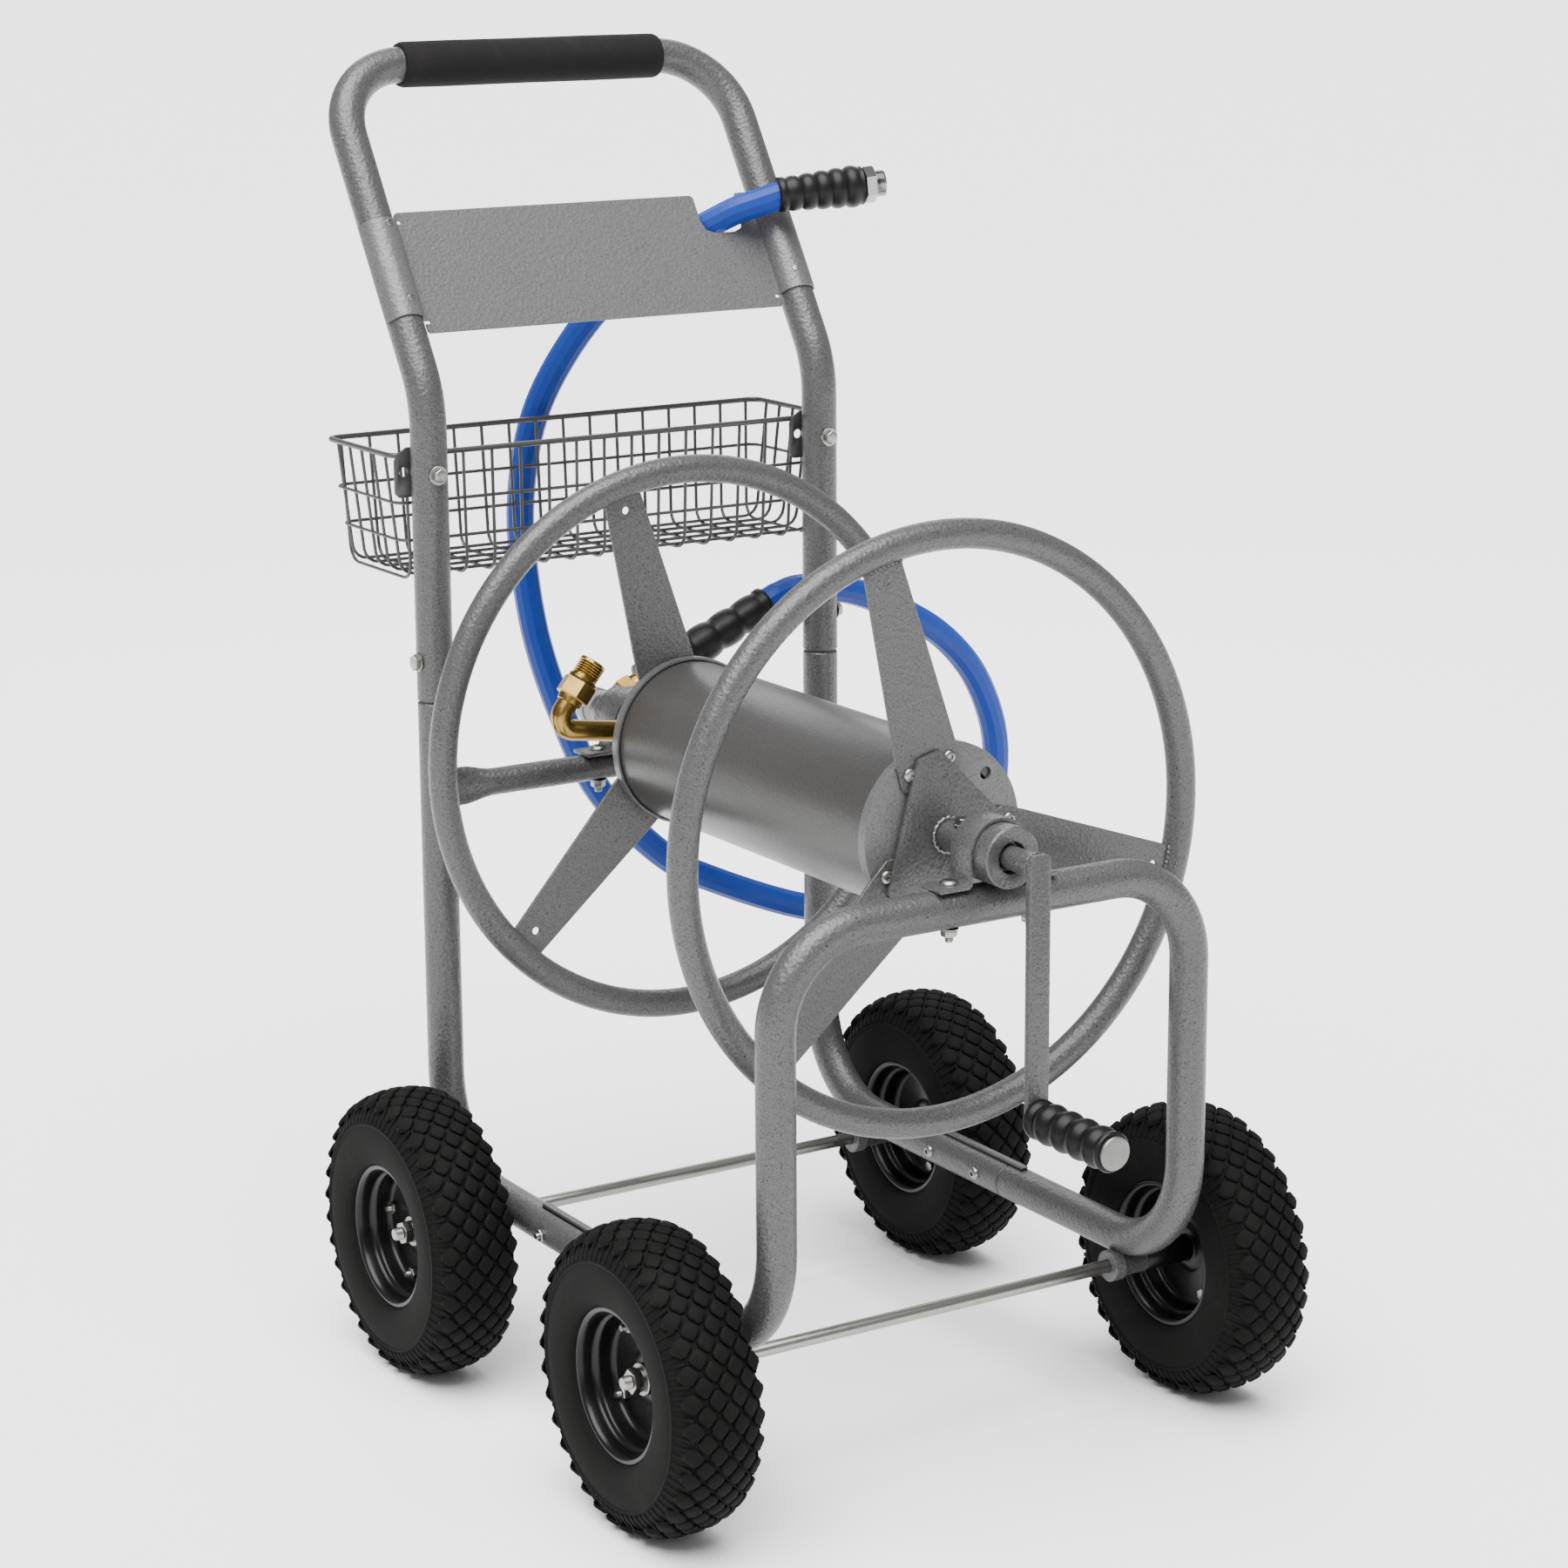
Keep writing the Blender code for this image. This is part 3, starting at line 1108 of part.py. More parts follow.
def main():
    clearScene()
    front = CRANK_FRONT
    rear = HANDLE_TOP_REACH + GRIP_RADIUS
    cart = addEmpty("cart", None, (0, -(front + rear) / 2, 0))
    bpy.context.view_layer.update()
    reel = addEmpty("reel", cart, (0, 0, REEL_HEIGHT))
    makeHandle(cart)
    makePlate(cart)
    makeBasket(cart)
    makeRearFrame(cart)
    makeFrontFrame(cart)
    makeAxles(cart)
    makeWheels(cart)
    makeBearings(cart)
    makeReel(reel)
    makeCrank(reel)
    makeElbow(reel)
    makeWater(cart)


main()
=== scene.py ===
import math
import random

import bpy
from mathutils import Matrix, Vector


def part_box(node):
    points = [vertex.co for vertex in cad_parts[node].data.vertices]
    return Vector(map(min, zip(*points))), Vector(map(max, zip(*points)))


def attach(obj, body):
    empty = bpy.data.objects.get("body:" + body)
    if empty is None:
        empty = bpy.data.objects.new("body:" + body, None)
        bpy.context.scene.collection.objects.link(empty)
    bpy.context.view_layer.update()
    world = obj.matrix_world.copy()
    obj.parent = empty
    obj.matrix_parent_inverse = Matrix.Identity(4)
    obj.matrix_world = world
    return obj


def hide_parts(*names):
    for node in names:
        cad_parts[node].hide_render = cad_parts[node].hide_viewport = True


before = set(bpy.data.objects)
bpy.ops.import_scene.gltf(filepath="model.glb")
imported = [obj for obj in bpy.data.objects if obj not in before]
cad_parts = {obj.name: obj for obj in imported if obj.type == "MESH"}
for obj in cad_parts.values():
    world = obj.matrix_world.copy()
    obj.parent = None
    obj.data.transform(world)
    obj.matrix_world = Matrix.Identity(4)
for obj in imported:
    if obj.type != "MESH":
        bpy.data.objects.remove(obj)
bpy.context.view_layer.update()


def middleOf(node):
    low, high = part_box(node)
    return (Vector(low) + Vector(high)) / 2


# the pieces are measured from the middle between the axles
axleMiddle = (middleOf("front_axle").y + middleOf("rear_axle").y) / 2


def at(x, y, z):
    return Vector((x, y + axleMiddle, z))


print("camera")
view = {"place": (-1.7312, -2.7400, 1.3334), "turn": 0.5593, "down": 0.2375, "roll": -0.0063, "lens": 87.85}
forward = Vector((
    math.sin(view["turn"]) * math.cos(view["down"]),
    math.cos(view["turn"]) * math.cos(view["down"]),
    -math.sin(view["down"]),
))
level = Vector((math.cos(view["turn"]), -math.sin(view["turn"]), 0))
upright = level.cross(forward)
across = level * math.cos(view["roll"]) + upright * math.sin(view["roll"])
upward = upright * math.cos(view["roll"]) - level * math.sin(view["roll"])
lens = bpy.data.cameras.new("camera")
lens.lens = view["lens"]
lens.sensor_width = 36
camera = bpy.data.objects.new("camera", lens)
bpy.context.scene.collection.objects.link(camera)
turned = Matrix((across, upward, -forward)).transposed().to_4x4()
camera.matrix_world = Matrix.Translation(at(*view["place"])) @ turned
bpy.context.scene.camera = camera


print("studio")
studio = {
    "floor": (0.93, 0.93, 0.925), "sky": 0.55, "skySeen": 2.2, "key": 14, "rim": 40, "sun": 10.5,
    "sunSoft": 62, "sunLean": (12, -14), "keyPlace": (-2.6, -2.2, 2.6), "keyTarget": (0, 0, 0.6),
    "rimPlace": (1.6, 3.0, 2.4), "rimTarget": (0, 0, 0.7), "floorSize": 90,
}


class Wire:  # a shader socket, so that shader maths reads as plain sums
    def __init__(self, tree, socket):
        self.tree = tree
        self.socket = socket

    def sum(self, operation, first, second=0.0, third=0.0):
        node = self.tree.nodes.new("ShaderNodeMath")
        node.operation = operation
        for index, item in enumerate((first, second, third)):
            plugIn(self.tree, node.inputs[index], item)
        return Wire(self.tree, node.outputs[0])

    def __add__(self, other):
        return self.sum("ADD", self, other)

    def __sub__(self, other):
        return self.sum("SUBTRACT", self, other)

    def __mul__(self, other):
        return self.sum("MULTIPLY", self, other)

    def __truediv__(self, other):
        return self.sum("DIVIDE", self, other)

    def __pow__(self, other):
        return self.sum("POWER", self, other)

    def __radd__(self, other):
        return self.sum("ADD", other, self)

    def __rsub__(self, other):
        return self.sum("SUBTRACT", other, self)

    def __rmul__(self, other):
        return self.sum("MULTIPLY", other, self)


def plugIn(tree, socket, item):
    if isinstance(item, Wire):
        tree.links.new(item.socket, socket)
    else:
        socket.default_value = item


class Finish:  # one material, built from nodes
    def __init__(self, name, colour, roughness, metallic=0.0, coat=0.0, coatRoughness=0.1):
        self.material = bpy.data.materials.new(name)
        self.material.use_nodes = True
        self.tree = self.material.node_tree
        self.shader = self.tree.nodes["Principled BSDF"]
        self.set("Base Color", (*colour, 1))
        self.set("Roughness", roughness)
        self.set("Metallic", metallic)
        self.set("Coat Weight", coat)
        self.set("Coat Roughness", coatRoughness)

    def set(self, name, item):
        plugIn(self.tree, self.shader.inputs[name], item)

    def add(self, kind, settings=None, sockets=None, output=0):
        node = self.tree.nodes.new("ShaderNode" + kind)
        for key, item in (settings or {}).items():
            setattr(node, key, item)
        for key, item in (sockets or {}).items():
            plugIn(self.tree, node.inputs[key], item)
        return Wire(self.tree, node.outputs[output])

    def places(self):
        return self.add("TexCoord", output=3)

    def noise(self, places, scale, detail=2.0, roughness=0.5):
        return self.add("TexNoise", {},
            {"Vector": places, "Scale": scale, "Detail": detail, "Roughness": roughness})

    def step(self, item, low, high):  # 0 under low, 1 over high, smooth between
        return self.add("MapRange", {"interpolation_type": "SMOOTHSTEP"}, {
            "Value": item, "From Min": low, "From Max": high, "To Min": 0.0, "To Max": 1.0})

    def blend(self, mask, first, second):
        first = (*first, 1) if isinstance(first, tuple) else first
        second = (*second, 1) if isinstance(second, tuple) else second
        return self.add("Mix", {"data_type": "RGBA"}, {0: mask, 6: first, 7: second}, 2)

    def bump(self, height, depth, strength=1.0):
        self.set("Normal", self.add("Bump", {}, {"Height": height, "Distance": depth, "Strength": strength}))


def areaLight(name, place, target, power, width, height):
    light = bpy.data.lights.new(name, "AREA")
    light.shape = "RECTANGLE"
    light.size = width
    light.size_y = height
    light.energy = power
    lamp = bpy.data.objects.new(name, light)
    bpy.context.scene.collection.objects.link(lamp)
    lamp.location = place
    lamp.rotation_euler = (Vector(target) - Vector(place)).to_track_quat("-Z", "Y").to_euler()


areaLight("keyLight", studio["keyPlace"], studio["keyTarget"], studio["key"], 2.2, 2.2)
areaLight("rimLight", studio["rimPlace"], studio["rimTarget"], studio["rim"], 2.5, 1.5)
sunLight = bpy.data.lights.new("topLight", "SUN")
sunLight.energy = studio["sun"]
sunLight.angle = math.radians(studio["sunSoft"])
sunLamp = bpy.data.objects.new("topLight", sunLight)
bpy.context.scene.collection.objects.link(sunLamp)
sunLamp.rotation_euler = (math.radians(studio["sunLean"][0]), math.radians(studio["sunLean"][1]), 0)
sky = bpy.data.worlds.new("sky")
sky.use_nodes = True
sky.node_tree.nodes["Background"].inputs[0].default_value = (1, 1, 1, 1)
cameraRay = Wire(sky.node_tree, sky.node_tree.nodes.new("ShaderNodeLightPath").outputs[0])
plugIn(sky.node_tree, sky.node_tree.nodes["Background"].inputs[1],
    cameraRay * studio["skySeen"] + studio["sky"])
bpy.context.scene.world = sky


def deselectAll():
    if bpy.context.object and bpy.context.object.mode != "OBJECT":
        bpy.ops.object.mode_set(mode="OBJECT")
    bpy.ops.object.select_all(action="DESELECT")


deselectAll()
bpy.ops.mesh.primitive_plane_add(size=studio["floorSize"], location=(0, 0, 0))
floor = bpy.context.object
floor.name = "floor"
floorFinish = Finish("paleFloor", studio["floor"], 0.6)
floor.data.materials.append(floorFinish.material)


print("finishes")


def shade(colour, ratio, lift=0.0):
    return tuple(part * ratio + lift for part in colour)


def hammeredPaint(name, light, dark, speckle=1.0, texture=1.0):
    # silver paint that has dried into fine dimples, dark-speckled, with bright specks painted in as glints
    # off its flakes
    finish = Finish(name, light, 0.36, 0.35)
    finish.set("Specular IOR Level", 0.4)
    places = finish.places()
    dimple = finish.add(
        "TexVoronoi", {"feature": "SMOOTH_F1"}, {"Vector": places, "Scale": 300.0, "Smoothness": 0.5})
    fine = finish.noise(places, 1300.0, 2.0, 0.6)
    broad = finish.noise(places, 9.0, 2.0, 0.5)
    grain = finish.step(finish.noise(places, 820.0, 3.0, 0.7), 0.42, 0.62) * 0.50
    specks = finish.step(finish.noise(places, 520.0, 2.0, 0.6), 0.60, 0.67) * speckle
    mask = finish.add("Math", {"operation": "MINIMUM"}, {0: grain * speckle + specks * 0.7, 1: 0.95})
    # painted glint: specks lifted to 1.9 times the paint's colour, standing in for the light the flakes catch
    paintedGlint = finish.step(finish.noise(places, 1150.0, 2.0, 0.6), 0.58, 0.70)
    tone = finish.blend(broad, shade(light, 1.06), shade(light, 0.92))
    toneWithPaintedGlint = finish.blend(paintedGlint * 0.55, tone, shade(light, 1.9))
    finish.set("Base Color", finish.blend(mask, toneWithPaintedGlint, dark))
    finish.set("Roughness", 0.27 + fine * 0.10 + mask * 0.16)
    finish.bump(dimple * 0.75 + fine * 0.25, 0.0007 * texture, 0.8)
    return finish.material


def plainPaint(name, colour, roughness, metallic=0.0, coat=0.0, depth=0.00015, scale=400.0, shine=0.5):
    finish = Finish(name, colour, roughness, metallic, coat)
    finish.set("Specular IOR Level", shine)
    places = finish.places()
    broad = finish.noise(places, 25.0, 3.0, 0.6)
    fine = finish.noise(places, scale, 3.0, 0.6)
    finish.set("Base Color", finish.blend(broad, shade(colour, 0.8), shade(colour, 1.15)))
    finish.set("Roughness", roughness * 0.8 + fine * roughness * 0.35)
    finish.bump(fine, depth, 0.6)
    return finish.material


def dustyRubber(name, colour, roughness, scale, depth, sheen=0.25):
    finish = Finish(name, colour, roughness)
    finish.set("Specular IOR Level", sheen)
    places = finish.places()
    grain = finish.noise(places, scale, 4.0, 0.7)
    dust = finish.step(finish.noise(places, 30.0, 4.0, 0.65), 0.5, 0.75)
    finish.set("Base Color", finish.blend(dust * 0.5, colour, shade(colour, 1.9, 0.0012)))
    finish.set("Roughness", roughness - 0.08 + grain * 0.16)
    finish.bump(grain, depth, 0.8)
    return finish.material


def plated(name, colour, roughness, tint):
    finish = Finish(name, colour, roughness, 1.0)
    places = finish.places()
    cloud = finish.noise(places, 90.0, 3.0, 0.6)
    grain = finish.noise(places, 1400.0, 2.0, 0.5)
    finish.set("Base Color", finish.blend(cloud, colour, tint))
    finish.set("Roughness", roughness * 0.7 + cloud * roughness * 0.6)
    finish.bump(grain, 0.00005, 0.5)
    return finish.material


hammered = hammeredPaint("hammeredSilver", (0.079, 0.077, 0.078), (0.017, 0.0163, 0.0165))
# a lighter copy of the hammered paint: the extra brightness is painted light, for the top light the tilted
# notched plate catches; the drum's end plates use it too
hammeredSheetPaintedLight = hammeredPaint("hammeredSheetPaintedLight", (0.116, 0.115, 0.118), (0.034, 0.0332, 0.034), 0.8, 0.6)
drumPaint = hammeredPaint("drumPaint", (0.052, 0.0505, 0.0495), (0.021, 0.0202, 0.0196), 0.6, 0.3)
glossBlack = plainPaint("glossBlack", (0.0022, 0.0022, 0.0023), 0.30, 0.0, 0.0, 0.00006, 500.0, 0.22)
tyreBlack = dustyRubber("tyreBlack", (0.0038, 0.0036, 0.0034), 0.74, 900.0, 0.00012, 0.07)
foamBlack = dustyRubber("foamBlack", (0.0075, 0.0070, 0.0068), 0.88, 1100.0, 0.0005, 0.15)
sleeveBlack = dustyRubber("sleeveBlack", (0.0034, 0.0033, 0.0033), 0.42, 1500.0, 0.00008, 0.20)
gripBlack = dustyRubber("gripBlack", (0.0030, 0.0030, 0.0030), 0.38, 1500.0, 0.00008, 0.16)
wireGrey = plainPaint("wireGrey", (0.040, 0.039, 0.040), 0.40, 0.3, 0.0, 0.00015, 900.0)
zinc = plated("zincPlate", (0.30, 0.30, 0.295), 0.30, (0.23, 0.225, 0.20))
chrome = plated("chromePlate", (0.34, 0.34, 0.345), 0.13, (0.26, 0.26, 0.27))
castMetal = plated("castMetal", (0.20, 0.20, 0.197), 0.42, (0.150, 0.150, 0.145))
brass = plated("polishedBrass", (0.33, 0.218, 0.060), 0.24, (0.25, 0.160, 0.042))
washerOrange = plainPaint("washerOrange", (0.26, 0.035, 0.010), 0.45)
# flat black that stands in for shade: painted shade in tube seams and inside mouths
paintedShadeBlack = plainPaint("paintedShadeBlack", (0.008, 0.008, 0.008), 0.7)
tapeWhite = plainPaint("tapeWhite", (0.19, 0.19, 0.185), 0.55, 0.0, 0.0, 0.0003, 700.0)
hoseFinish = Finish("hoseBlue", (0.005, 0.040, 0.28), 0.34)
hoseFinish.set("Specular IOR Level", 0.22)
hosePlaces = hoseFinish.places()
hoseCloud = hoseFinish.noise(hosePlaces, 40.0, 3.0, 0.6)
hoseGrain = hoseFinish.noise(hosePlaces, 900.0, 2.0, 0.6)
hoseFinish.set("Base Color", hoseFinish.blend(hoseCloud, (0.0032, 0.024, 0.185), (0.0046, 0.033, 0.240)))
hoseFinish.set("Roughness", 0.36 + hoseGrain * 0.14)
hoseFinish.bump(hoseGrain, 0.0001, 0.6)
hoseBlue = hoseFinish.material


def finishPiece(piece, name, material, body, replaced=(), smooth=35):
    deselectAll()
    piece.select_set(True)
    bpy.context.view_layer.objects.active = piece
    bpy.ops.object.transform_apply(location=True, rotation=True, scale=True)
    if smooth:
        bpy.ops.object.shade_smooth_by_angle(angle=math.radians(smooth))
    piece.name = name
    piece.data.materials.clear()
    piece.data.materials.append(material)
    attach(piece, body)
    if replaced:
        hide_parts(*replaced)
    return piece


def applyModifier(piece, kind, **settings):
    deselectAll()
    piece.select_set(True)
    bpy.context.view_layer.objects.active = piece
    modifier = piece.modifiers.new(kind.lower(), kind)
    for key, item in settings.items():
        setattr(modifier, key, item)
    bpy.ops.object.modifier_apply(modifier=modifier.name)


def joinPieces(pieces):
    deselectAll()
    for piece in pieces:
        piece.select_set(True)
    bpy.context.view_layer.objects.active = pieces[0]
    bpy.ops.object.join()
    return bpy.context.object


def turnPiece(profile, sides=64, closed=False, place=(0, 0, 0), direction=(0, 0, 1), roll=0.0):
    # a circle drawn up through (radius, height) steps; a closed one is a ring, an open one is solid
    deselectAll()
    radius, height = profile[0]
    bpy.ops.mesh.primitive_circle_add(
        vertices=sides, radius=radius, location=(0, 0, height), fill_type="NOTHING" if closed else "NGON")
    piece = bpy.context.object
    bpy.ops.object.transform_apply(location=True)
    bpy.ops.object.mode_set(mode="EDIT")
    bpy.ops.mesh.select_mode(type="EDGE" if closed else "FACE")
    bpy.ops.mesh.select_all(action="SELECT")
    steps = profile[1:] + profile[:1] if closed else profile[1:]
    for nextRadius, nextHeight in steps:
        bpy.ops.mesh.extrude_region_move(TRANSFORM_OT_translate={"value": (0, 0, nextHeight - height)})
        ratio = nextRadius / radius
        bpy.ops.transform.resize(value=(ratio, ratio, 1), center_override=(0, 0, nextHeight))
        radius, height = nextRadius, nextHeight
    bpy.ops.mesh.select_all(action="SELECT")
    bpy.ops.mesh.remove_doubles(threshold=0.00001)
    bpy.ops.mesh.normals_make_consistent(inside=False)
    bpy.ops.object.mode_set(mode="OBJECT")
    turn = Vector(direction).to_track_quat("Z", "Y").to_matrix().to_4x4()
    piece.matrix_world = Matrix.Translation(Vector(place)) @ turn @ Matrix.Rotation(roll, 4, "Z")
    deselectAll()
    piece.select_set(True)
    bpy.context.view_layer.objects.active = piece
    bpy.ops.object.transform_apply(location=True, rotation=True, scale=True)
    return piece


def bendTube(corners, bends, radius, sides=32, turnSteps=14, chamfer=0.0):
    # a ring drawn along straight runs and spun round each bend, then capped
    corners = [Vector(corner) for corner in corners]
    way = (corners[1] - corners[0]).normalized()
    deselectAll()
    bpy.ops.mesh.primitive_circle_add(
        vertices=sides, radius=radius - chamfer, location=corners[0],
        rotation=way.to_track_quat("Z", "Y").to_euler())
    piece = bpy.context.object
    bpy.ops.object.transform_apply(location=True, rotation=True)
    bpy.ops.object.mode_set(mode="EDIT")
    bpy.ops.mesh.select_mode(type="EDGE")
    bpy.ops.mesh.select_all(action="SELECT")
    here = corners[0]

    def grow(ratio, step):
        nonlocal here
        bpy.ops.mesh.extrude_region_move(TRANSFORM_OT_translate={"value": way * step})
        here = here + way * step
        bpy.ops.transform.resize(value=(ratio, ratio, ratio), center_override=here)

    if chamfer:
        grow(radius / (radius - chamfer), chamfer)
    for corner, after, bend in zip(corners[1:-1], corners[2:], bends):
        ahead = (after - corner).normalized()
        half = (math.pi - way.angle(ahead)) / 2
        start = corner - way * bend / math.tan(half)
        centre = corner + (ahead - way).normalized() * bend / math.sin(half)
        bpy.ops.mesh.extrude_region_move(TRANSFORM_OT_translate={"value": start - here})
        bpy.ops.mesh.spin(
            steps=turnSteps, angle=-way.angle(ahead), center=centre, axis=way.cross(ahead).normalized())
        here = corner + ahead * bend / math.tan(half)
        way = ahead
    bpy.ops.mesh.extrude_region_move(TRANSFORM_OT_translate={"value": corners[-1] - way * chamfer - here})
    here = corners[-1] - way * chamfer
    if chamfer:
        grow((radius - chamfer) / radius, chamfer)
    bpy.ops.mesh.select_all(action="SELECT")
    bpy.ops.mesh.remove_doubles(threshold=0.00001)
    bpy.ops.mesh.select_all(action="DESELECT")
    bpy.ops.mesh.select_non_manifold()
    bpy.ops.mesh.edge_face_add()
    bpy.ops.mesh.select_all(action="DESELECT")
    bpy.ops.mesh.select_non_manifold()
    bpy.ops.mesh.fill_holes(sides=0)
    bpy.ops.mesh.select_all(action="SELECT")
    bpy.ops.mesh.normals_make_consistent(inside=False)
    bpy.ops.object.mode_set(mode="OBJECT")
    return piece


def sheetPiece(outline, low, high, plane="XZ", bevel=0.0, holes=()):
    # a flat outline pulled to its thickness, with round holes of (first, second, radius)
    spread = {"XZ": (0, 2, 1), "XY": (0, 1, 2), "YZ": (1, 2, 0)}[plane]
    deselectAll()
    bpy.ops.mesh.primitive_circle_add(vertices=len(outline), radius=1, fill_type="NGON")
    piece = bpy.context.object
    for vertex, (first, second) in zip(piece.data.vertices, outline):
        vertex.co[spread[0]] = first
        vertex.co[spread[1]] = second
        vertex.co[spread[2]] = low
    rise = [0, 0, 0]
    rise[spread[2]] = high - low
    bpy.ops.object.mode_set(mode="EDIT")
    bpy.ops.mesh.select_mode(type="FACE")
    bpy.ops.mesh.select_all(action="SELECT")
    bpy.ops.mesh.extrude_region_move(TRANSFORM_OT_translate={"value": rise})
    bpy.ops.mesh.select_all(action="SELECT")
    bpy.ops.mesh.normals_make_consistent(inside=False)
    bpy.ops.object.mode_set(mode="OBJECT")
    for first, second, radius in holes:
        spot = [0, 0, 0]
        spot[spread[0]] = first
        spot[spread[1]] = second
        spot[spread[2]] = (low + high) / 2
        way = [0, 0, 0]
        way[spread[2]] = 1
        reach = abs(high - low) + 0.01
        drill = turnPiece([(radius, -reach), (radius, reach)], 32, False, spot, way)
        applyModifier(piece, "BOOLEAN", object=drill, operation="DIFFERENCE", solver="EXACT")
        bpy.data.objects.remove(drill)
    if bevel:
        applyModifier(
            piece, "BEVEL", width=bevel, segments=1 if bevel < 0.0006 else 2, limit_method="ANGLE",
            angle_limit=math.radians(40))
    return piece


def hexBolt(place, direction, across=0.013, height=0.0055, washer=0.0, washerRadius=0.0, stud=0.0, roll=0.0):
    # a bevelled hexagon with a turned-down crown, on its washer, and the thread's end if it shows
    place = Vector(place)
    direction = Vector(direction).normalized()
    parts = []
    if washer:
        parts.append(turnPiece([
            (washerRadius - 0.0003, 0), (washerRadius, 0.0003), (washerRadius, washer - 0.0003),
            (washerRadius - 0.0004, washer)], 32, False, place, direction))
    corner = across / 2 / math.cos(math.pi / 6)
    head = turnPiece([
        (corner * 0.96, 0), (corner, height * 0.08), (corner, height * 0.78),
        (corner * 0.90, height * 0.95),
        (corner * 0.72, height)], 6, False, place + direction * washer, direction, roll)
    parts.append(head)
    if stud:
        radius = across * 0.30
        profile = [(radius, 0)]
        turns = max(2, int(stud / 0.0012))
        for turn in range(turns):
            base = height + stud * turn / turns
            profile += [(radius, base), (radius * 0.90, base + stud / turns * 0.5)]
        profile += [(radius * 0.85, height + stud)]
        parts.append(turnPiece(profile, 20, False, place + direction * washer, direction))
    return joinPieces(parts)


print("leader hose")
hose = {
    "radius": 0.0135, "sides": 12, "straight": 0.012,
    "inlet": (0.0, 0.350, 0.552), "inletAngle": 24.0, "sleeveStart": 0.0491, "sleeveEnd": 0.2011,
    "end": (0.2100, 0.3330, 1.0265), "tip": (0.2710, 0.3120, 1.0320),
    "route": [
        (0.2240, 0.3500, 0.6446), (0.2800, 0.3510, 0.6356), (0.3370, 0.3530, 0.6117),
        (0.3960, 0.3550, 0.5749), (0.4410, 0.3580, 0.5218), (0.4650, 0.3620, 0.4503),
        (0.4545, 0.3680, 0.3681), (0.4065, 0.3760, 0.3136), (0.3265, 0.3840, 0.2964),
        (0.2480, 0.3920, 0.3109), (0.1515, 0.4000, 0.3505), (0.0956, 0.4070, 0.3838),
        (0.0330, 0.4150, 0.4522), (0.0030, 0.4270, 0.5230), (-0.0155, 0.4450, 0.5991),
        (-0.0172, 0.4670, 0.6726), (-0.0150, 0.4750, 0.7348), (-0.0017, 0.4750, 0.8052),
        (0.0215, 0.4630, 0.8634), (0.0585, 0.4420, 0.9210), (0.1090, 0.4110, 0.9699),
        (0.1540, 0.3680, 1.0060), (0.1790, 0.3500, 1.0177),
    ],
}
inletWay = Vector((math.cos(math.radians(hose["inletAngle"])), 0, math.sin(math.radians(hose["inletAngle"]))))
inletCentre = at(*hose["inlet"])
hoseTip = at(*hose["tip"])
hoseEnd = at(*hose["end"])
tipWay = (hoseTip - hoseEnd).normalized()


def smoothRoute(points, perSpan):
    ends = [2 * points[0] - points[1]] + points + [2 * points[-1] - points[-2]]
    fine = []
    for index in range(1, len(ends) - 2):
        before, start, end, after = ends[index - 1:index + 3]
        for step in range(perSpan):
            part = step / perSpan
            fine.append(0.5 * (
                2 * start + (end - before) * part
                + (2 * before - 5 * start + 4 * end - after) * part ** 2
                + (3 * start - before - 3 * end + after) * part ** 3))
    return fine + [points[-1]]


hoseStart = inletCentre + inletWay * (hose["sleeveEnd"] + 0.0003)
hoseRoute = [hoseStart + inletWay * hose["straight"]] + [at(*place) for place in hose["route"]]
hoseRoute += [hoseEnd - tipWay * hose["straight"]]
hosePath = [inletCentre + inletWay * (hose["sleeveStart"] + 0.004), hoseStart - inletWay * 0.012, hoseStart]
hosePath += smoothRoute(hoseRoute, 6) + [hoseEnd, hoseEnd + tipWay * 0.012, hoseTip - tipWay * 0.012]
hoseLength = sum((second - first).length for first, second in zip(hosePath, hosePath[1:]))
print("hose length", round(hoseLength, 3))
curve = bpy.data.curves.new("leaderHose", "CURVE")
curve.dimensions = "3D"
curve.bevel_depth = hose["radius"]
curve.bevel_resolution = (hose["sides"] - 4) // 2
curve.use_fill_caps = True
spline = curve.splines.new("POLY")
spline.points.add(len(hosePath) - 1)
for point, place in zip(spline.points, hosePath):
    point.co = (*place, 1)
spline.use_smooth = False
leaderHose = bpy.data.objects.new("leaderHose", curve)
bpy.context.scene.collection.objects.link(leaderHose)
curve.materials.append(hoseBlue)
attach(leaderHose, "cart")
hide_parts("leader_hose")


def ribbedSleeve(start, way, length, radius, ribs, thinEnd):
    # rubber bend guard: a run of rounded ribs that taper to the hose
    profile = [(radius * 0.78, 0), (radius * 0.92, 0.0012)]
    for rib in range(ribs):
        size = radius * (1 - (1 - thinEnd) * rib / max(1, ribs - 1))
        low = 0.004 + (length - 0.012) * rib / ribs
        pitch = (length - 0.012) / ribs
        for part, bulge in ((0.0, 0.88), (0.15, 0.94), (0.35, 0.99), (0.55, 1.0), (0.75, 0.975),
            (0.9, 0.915)):
            profile.append((size * bulge, low + pitch * part))
    profile += [(radius * thinEnd * 0.9, length - 0.008), (radius * thinEnd * 0.98, length - 0.006)]
    profile += [(radius * thinEnd * 0.98, length - 0.001), (radius * thinEnd * 0.9, length)]
    return turnPiece(profile, 40, False, start, way)


